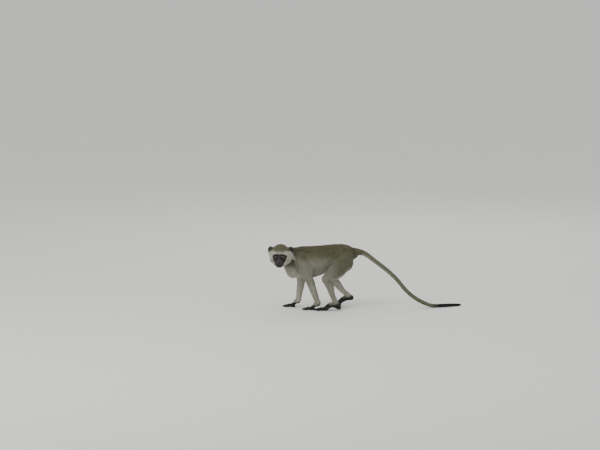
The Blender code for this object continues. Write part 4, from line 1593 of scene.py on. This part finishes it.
@dataclass
class CoatPiece:
    """One piece of the coat: thin tapered tufts that grow from a region of the skin.

    Attributes:
        name: the piece's name.
        regions: the regions it grows on.
        slot: the name of a material slot; not used.
        seed: what its random draws start from.
        most: the most tufts it may have.
        share: how many tufts it grows for each that the coat's density asks.
        lock_size: how many tufts are drawn together into a lock.
        cling: how closely the tufts follow the skin, from 0 to 1.
        patch: how wide each tuft's patch of the UV map is.
    """

    name: str
    regions: tuple[Region, ...]
    slot: str
    seed: int
    most: int = 66_000
    share: float = 1.0
    lock_size: int = 16
    cling: float = 0.85
    patch: float = 0.003

    def build(self, fields: SkinFields, material: bpy.types.Material) -> bpy.types.Object:
        """Grows the tufts and makes them one mesh.

        Args:
            fields: the skin's fields.
            material: the coat's material.

        Returns:
            The coat piece.
        """
        rng = np.random.default_rng(self.seed)
        roots = self.roots(fields, rng)
        spine = self.lay(fields, roots, rng)
        item = self.mesh(roots, spine, rng)
        item.data.materials.append(material)
        log.info("%s: %d tufts", self.name, len(roots["point"]))
        return item

    def roots(self, fields: SkinFields, rng: np.random.Generator) -> dict[str, Array]:
        """Chooses where tufts grow and reads the skin there.

        Args:
            fields: the skin's fields.
            rng: the random generator.

        Returns:
            Each root's place and what the skin and coat are like there.
        """
        corners = fields.triangles
        region = fields.region[corners[:, 0]]
        wanted = np.isin(region, [r.value for r in self.regions])
        density = fields.hair[:, 3] * (1 - smoothstep(0.40, 0.92, fields.bare))
        expected = fields.areas * density[corners].mean(axis=1) * 1e6 * wanted * self.share
        total = int(min(expected.sum(), self.most))
        steps = (np.arange(total) + rng.random(total)) / total * expected.sum()
        chosen = np.searchsorted(np.cumsum(expected), steps).clip(0, len(corners) - 1)
        picked = corners[chosen]
        u, v = rng.random((2, total))
        flip = u + v > 1
        u[flip], v[flip] = 1 - u[flip], 1 - v[flip]
        weights = np.stack([1 - u - v, u, v], axis=1)[:, :, None]

        def read(values: Array) -> Array:
            """A field's values at the roots."""
            return (values[picked] * weights).sum(axis=1)

        return {
            "point": read(fields.points), "normal": unit(read(fields.normals)), "along": unit(read(fields.along)),
            "hair": read(fields.hair), "marks": read(fields.marks), "unwrap": fields.unwrap[picked[:, 0]],
            "bare": read(fields.bare[:, None])[:, 0],
        }

    def lay(self, fields: SkinFields, roots: dict[str, Array], rng: np.random.Generator) -> Array:
        """Lays each tuft over the skin: its root, middle and tip, gathered into locks.

        Args:
            fields: the skin's fields.
            roots: what roots returned.
            rng: the random generator.

        Returns:
            Three points for each tuft.
        """
        count = len(roots["point"])
        length = roots["hair"][:, 0] * MM * rng.uniform(0.70, 1.20, count)
        depth = roots["hair"][:, 1] * MM * rng.uniform(0.45, 1.12, count)
        sideways = np.cross(roots["normal"], roots["along"])
        sway = rng.normal(0.0, 0.17, count)[:, None]
        way = unit(roots["along"] + sideways * sway)
        start = roots["point"] - roots["normal"] * 0.4 * MM
        middle = start + way * (length * 0.5)[:, None]
        tip = start + way * length[:, None]
        tip = self.gathered(start, tip, rng)
        middle = (middle * 2 + (start + tip) / 2) / 3
        middle = self.settled(fields, middle, depth * 0.72, roots["normal"])
        tip = self.settled(fields, tip, depth, roots["normal"])
        return np.stack([start, middle, tip], axis=1)

    def gathered(self, start: Array, tip: Array, rng: np.random.Generator) -> Array:
        """Draws each tip part of the way to the tip of its lock's middle tuft.

        Args:
            start: the tufts' roots.
            tip: their tips.
            rng: the random generator.

        Returns:
            The drawn tips.
        """
        count = len(start)
        leaders = rng.choice(count, max(1, count // self.lock_size), replace=False)
        tree = KDTree(len(leaders))
        for k, leader in enumerate(leaders):
            tree.insert(start[leader], k)
        tree.balance()
        nearest = np.array([leaders[tree.find(point)[1]] for point in start])
        offset = start - start[nearest]
        return tip - offset * rng.uniform(0.15, 0.65, count)[:, None]

    def settled(self, fields: SkinFields, points: Array, height: Array, normals: Array) -> Array:
        """Brings points to their height over the nearest skin.

        Args:
            fields: the skin's fields.
            points: the points to bring.
            height: their heights, in metres.
            normals: the skin's normals at their roots.

        Returns:
            The settled points.
        """
        result = np.empty_like(points)
        for k, point in enumerate(points):
            place, normal, _, _ = fields.tree.find_nearest(point)
            straight = point + normals[k] * height[k]
            over = np.array(place) + np.array(normal) * height[k]
            result[k] = straight + (over - straight) * self.cling
        return result

    def mesh(self, roots: dict[str, Array], spine: Array, rng: np.random.Generator) -> bpy.types.Object:
        """Makes the tufts: each is a strip that is widest at its middle and ends in a point.

        Args:
            roots: what roots returned.
            spine: what lay returned.
            rng: the random generator.

        Returns:
            The coat piece, without its material.
        """
        count = len(spine)
        way = unit(spine[:, 2] - spine[:, 0])
        across = unit(np.cross(roots["normal"], way))
        roll = rng.normal(0.0, 0.45, count)[:, None]
        across = unit(across * np.cos(roll) + roots["normal"] * np.sin(roll))
        width = (roots["hair"][:, 2] * MM * rng.uniform(0.75, 1.25, count))[:, None]
        verts = np.empty((count, 5, 3))
        verts[:, 0] = spine[:, 0] - across * width * 0.42
        verts[:, 1] = spine[:, 0] + across * width * 0.42
        verts[:, 2] = spine[:, 1] + across * width * 0.50
        verts[:, 3] = spine[:, 1] - across * width * 0.50
        verts[:, 4] = spine[:, 2]
        verts[:, :, 2] = np.maximum(verts[:, :, 2], 0.0002)
        base = (np.arange(count) * 5)[:, None]
        loops = np.concatenate([base + (0, 1, 2, 3), base + (3, 2, 4)], axis=1).ravel()
        mesh = bpy.data.meshes.new(self.name)
        mesh.vertices.add(count * 5)
        mesh.vertices.foreach_set("co", verts.astype(np.float32).ravel())
        mesh.loops.add(count * 7)
        mesh.loops.foreach_set("vertex_index", loops.astype(np.int32))
        mesh.polygons.add(count * 2)
        starts = np.stack([np.arange(count) * 7, np.arange(count) * 7 + 4], axis=1)
        mesh.polygons.foreach_set("loop_start", starts.ravel().astype(np.int32))
        mesh.update(calc_edges=True)
        mesh.validate()
        self.colour(mesh, roots, rng)
        self.unwrap(mesh, roots)
        item = bpy.data.objects.new(self.name, mesh)
        bpy.context.scene.collection.objects.link(item)
        return item

    def colour(self, mesh: bpy.types.Mesh, roots: dict[str, Array], rng: np.random.Generator) -> None:
        """Writes how far along its tuft each vertex is, the tuft's own shade and its markings.

        Args:
            mesh: the coat's mesh.
            roots: what roots returned.
            rng: the random generator.
        """
        count = len(roots["point"])
        coat = np.ones((count, 5, 4))
        coat[:, :, 0] = (0.0, 0.0, 0.55, 0.55, 1.0)
        coat[:, :, 1] = rng.random(count)[:, None]
        coat[:, :, 2] = rng.random(count)[:, None]
        marks = np.repeat(roots["marks"][:, None, :], 5, axis=1)
        mesh.attributes.new("coat", "FLOAT_COLOR", "POINT").data.foreach_set("color", coat.ravel())
        mesh.attributes.new("marks", "FLOAT_COLOR", "POINT").data.foreach_set("color", marks.ravel())

    def unwrap(self, mesh: bpy.types.Mesh, roots: dict[str, Array]) -> None:
        """Gives each tuft a small patch at its root's place on the skin's unwrap.

        Args:
            mesh: the coat's mesh.
            roots: what roots returned.
        """
        corner = np.array(((0.0, 0.0), (1.0, 0.0), (1.0, 0.55), (0.0, 0.55), (0.0, 0.55), (1.0, 0.55), (0.5, 1.0)))
        places = roots["unwrap"][:, None, :] + (corner - 0.5) * self.patch
        layer = mesh.uv_layers.new(name="OFBake")
        layer.data.foreach_set("uv", places.ravel().astype(np.float32))


# ---- The stage ----
@dataclass(frozen=True)
class Stage:
    """A plain floor, soft light and the camera.

    Attributes:
        width: how much of the animal's plane the picture is wide, in metres.
        distance: how far the camera stands, in metres.
        elevation: how far above the horizon it looks from, in degrees.
        picture_centre: the plan point at the picture's middle.
        floor_width: how wide the floor is, in metres.
        sky_strength: how bright the even light all round is.
        lamps: each lamp's name, place from the animal's middle, width in metres and power in watts.
    """

    width: float = 2.76
    distance: float = 13.1
    elevation: float = 7.0
    picture_centre: Point = (-0.092, 0.0, 0.387)
    floor_width: float = 240.0
    sky_strength: float = 1.0
    lamps: tuple[tuple[str, Point, float, float], ...] = (
        ("key", (-2.2, -2.6, 3.0), 2.4, 80.0), ("fill", (3.0, -2.0, 1.8), 2.6, 12.0),
        ("rim", (0.6, 3.0, 2.6), 2.4, 28.0))

    def build(self, place: Place) -> None:
        """Sets the floor, the lights and the camera.

        Args:
            place: where things are.
        """
        self.floor()
        self.lights(place)
        self.camera(place)

    def floor(self) -> None:
        """A wide floor at the level of the feet."""
        deselect()
        bpy.ops.mesh.primitive_plane_add(size=self.floor_width)
        item = bpy.context.object
        item.name = "floor"
        item.data.materials.append(FloorFinish().make())

    def lights(self, place: Place) -> None:
        """A bright pale sky and a large soft lamp on the camera's left.

        Args:
            place: where things are.
        """
        world = bpy.data.worlds.new("studio")
        bpy.context.scene.world = world
        world.use_nodes = True
        background = world.node_tree.nodes["Background"]
        background.inputs["Color"].default_value = linear("#eceef0")
        background.inputs["Strength"].default_value = self.sky_strength
        centre = place.body((0.0, 0.0, 0.15))
        for name, offset, size, power in self.lamps:
            lamp = bpy.data.objects.new(name, bpy.data.lights.new(name, "AREA"))
            lamp.data.shape = "DISK"
            lamp.data.size = size
            lamp.data.energy = power
            lamp.location = centre + Vector(offset)
            lamp.rotation_euler = (-Vector(offset)).to_track_quat("-Z", "Y").to_euler()
            bpy.context.scene.collection.objects.link(lamp)

    def camera(self, place: Place) -> None:
        """A long lens at the animal's left, a little above its back.

        Args:
            place: where things are.
        """
        data = bpy.data.cameras.new("camera")
        data.sensor_width = 36.0
        data.lens = 36.0 * self.distance / self.width
        data.clip_end = 300.0
        camera = bpy.data.objects.new("camera", data)
        tilt = math.radians(self.elevation)
        back = Vector((0.0, -math.cos(tilt), math.sin(tilt)))
        camera.location = place.body(self.picture_centre) + back * self.distance
        camera.rotation_euler = (-back).to_track_quat("-Z", "Y").to_euler()
        bpy.context.scene.collection.objects.link(camera)
        bpy.context.scene.camera = camera


# ---- The whole scene ----
COAT: tuple[CoatPiece, ...] = (
    CoatPiece("coat_head", (Region.HEAD,), "olive_coat", 11, cling=0.94, share=2.10),
    CoatPiece("coat_neck", (Region.NECK,), "olive_coat", 12, share=2.00),
    CoatPiece("coat_trunk", (Region.TRUNK,), "olive_coat", 13, share=1.90),
    CoatPiece("coat_haunches", (Region.HIND,), "olive_coat", 14, share=2.00),
    CoatPiece("coat_arms", (Region.ARMS,), "grey_coat", 15, share=1.50),
    CoatPiece("coat_legs", (Region.LEGS,), "grey_coat", 16, share=1.18),
    CoatPiece("coat_tail", (Region.TAIL,), "grey_coat", 17, share=1.70),
)


def main() -> None:
    """Builds the animal piece by piece and reports each."""
    logging.basicConfig(level=logging.INFO, format="%(message)s")
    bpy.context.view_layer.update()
    place = Place()
    Stage().build(place)
    coatline = Coatline(place)
    markings = Markings(place)
    skin = Skin(place, coatline, markings)
    body = skin.build()
    body.data.materials.clear()
    body.data.materials.append(SkinFinish().make())
    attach(body, "root")
    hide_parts(*FLESH)
    log.info("skin: %d faces", len(body.data.polygons))
    eye_finish = EyeFinish().make()
    for side, label in ((-1, "left"), (1, "right")):
        eye = Eyeball(side, place).build(eye_finish)
        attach(eye, "root")
        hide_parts("eye_" + label)
    horn = NailFinish().make()
    for paw, name in ((Hand(-1, place), "nails_hand_left"), (Hand(1, place), "nails_hand_right"),
                      (Foot(-1, place), "nails_foot_left"), (Foot(1, place), "nails_foot_right")):
        nails = Nails(paw, name).build(horn)
        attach(nails, "root")
    fur = FurFinish().make()
    fields = SkinFields(body, coatline, markings)
    for piece in COAT:
        coat = piece.build(fields, fur)
        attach(coat, "root")


if __name__ == "__main__":
    main()
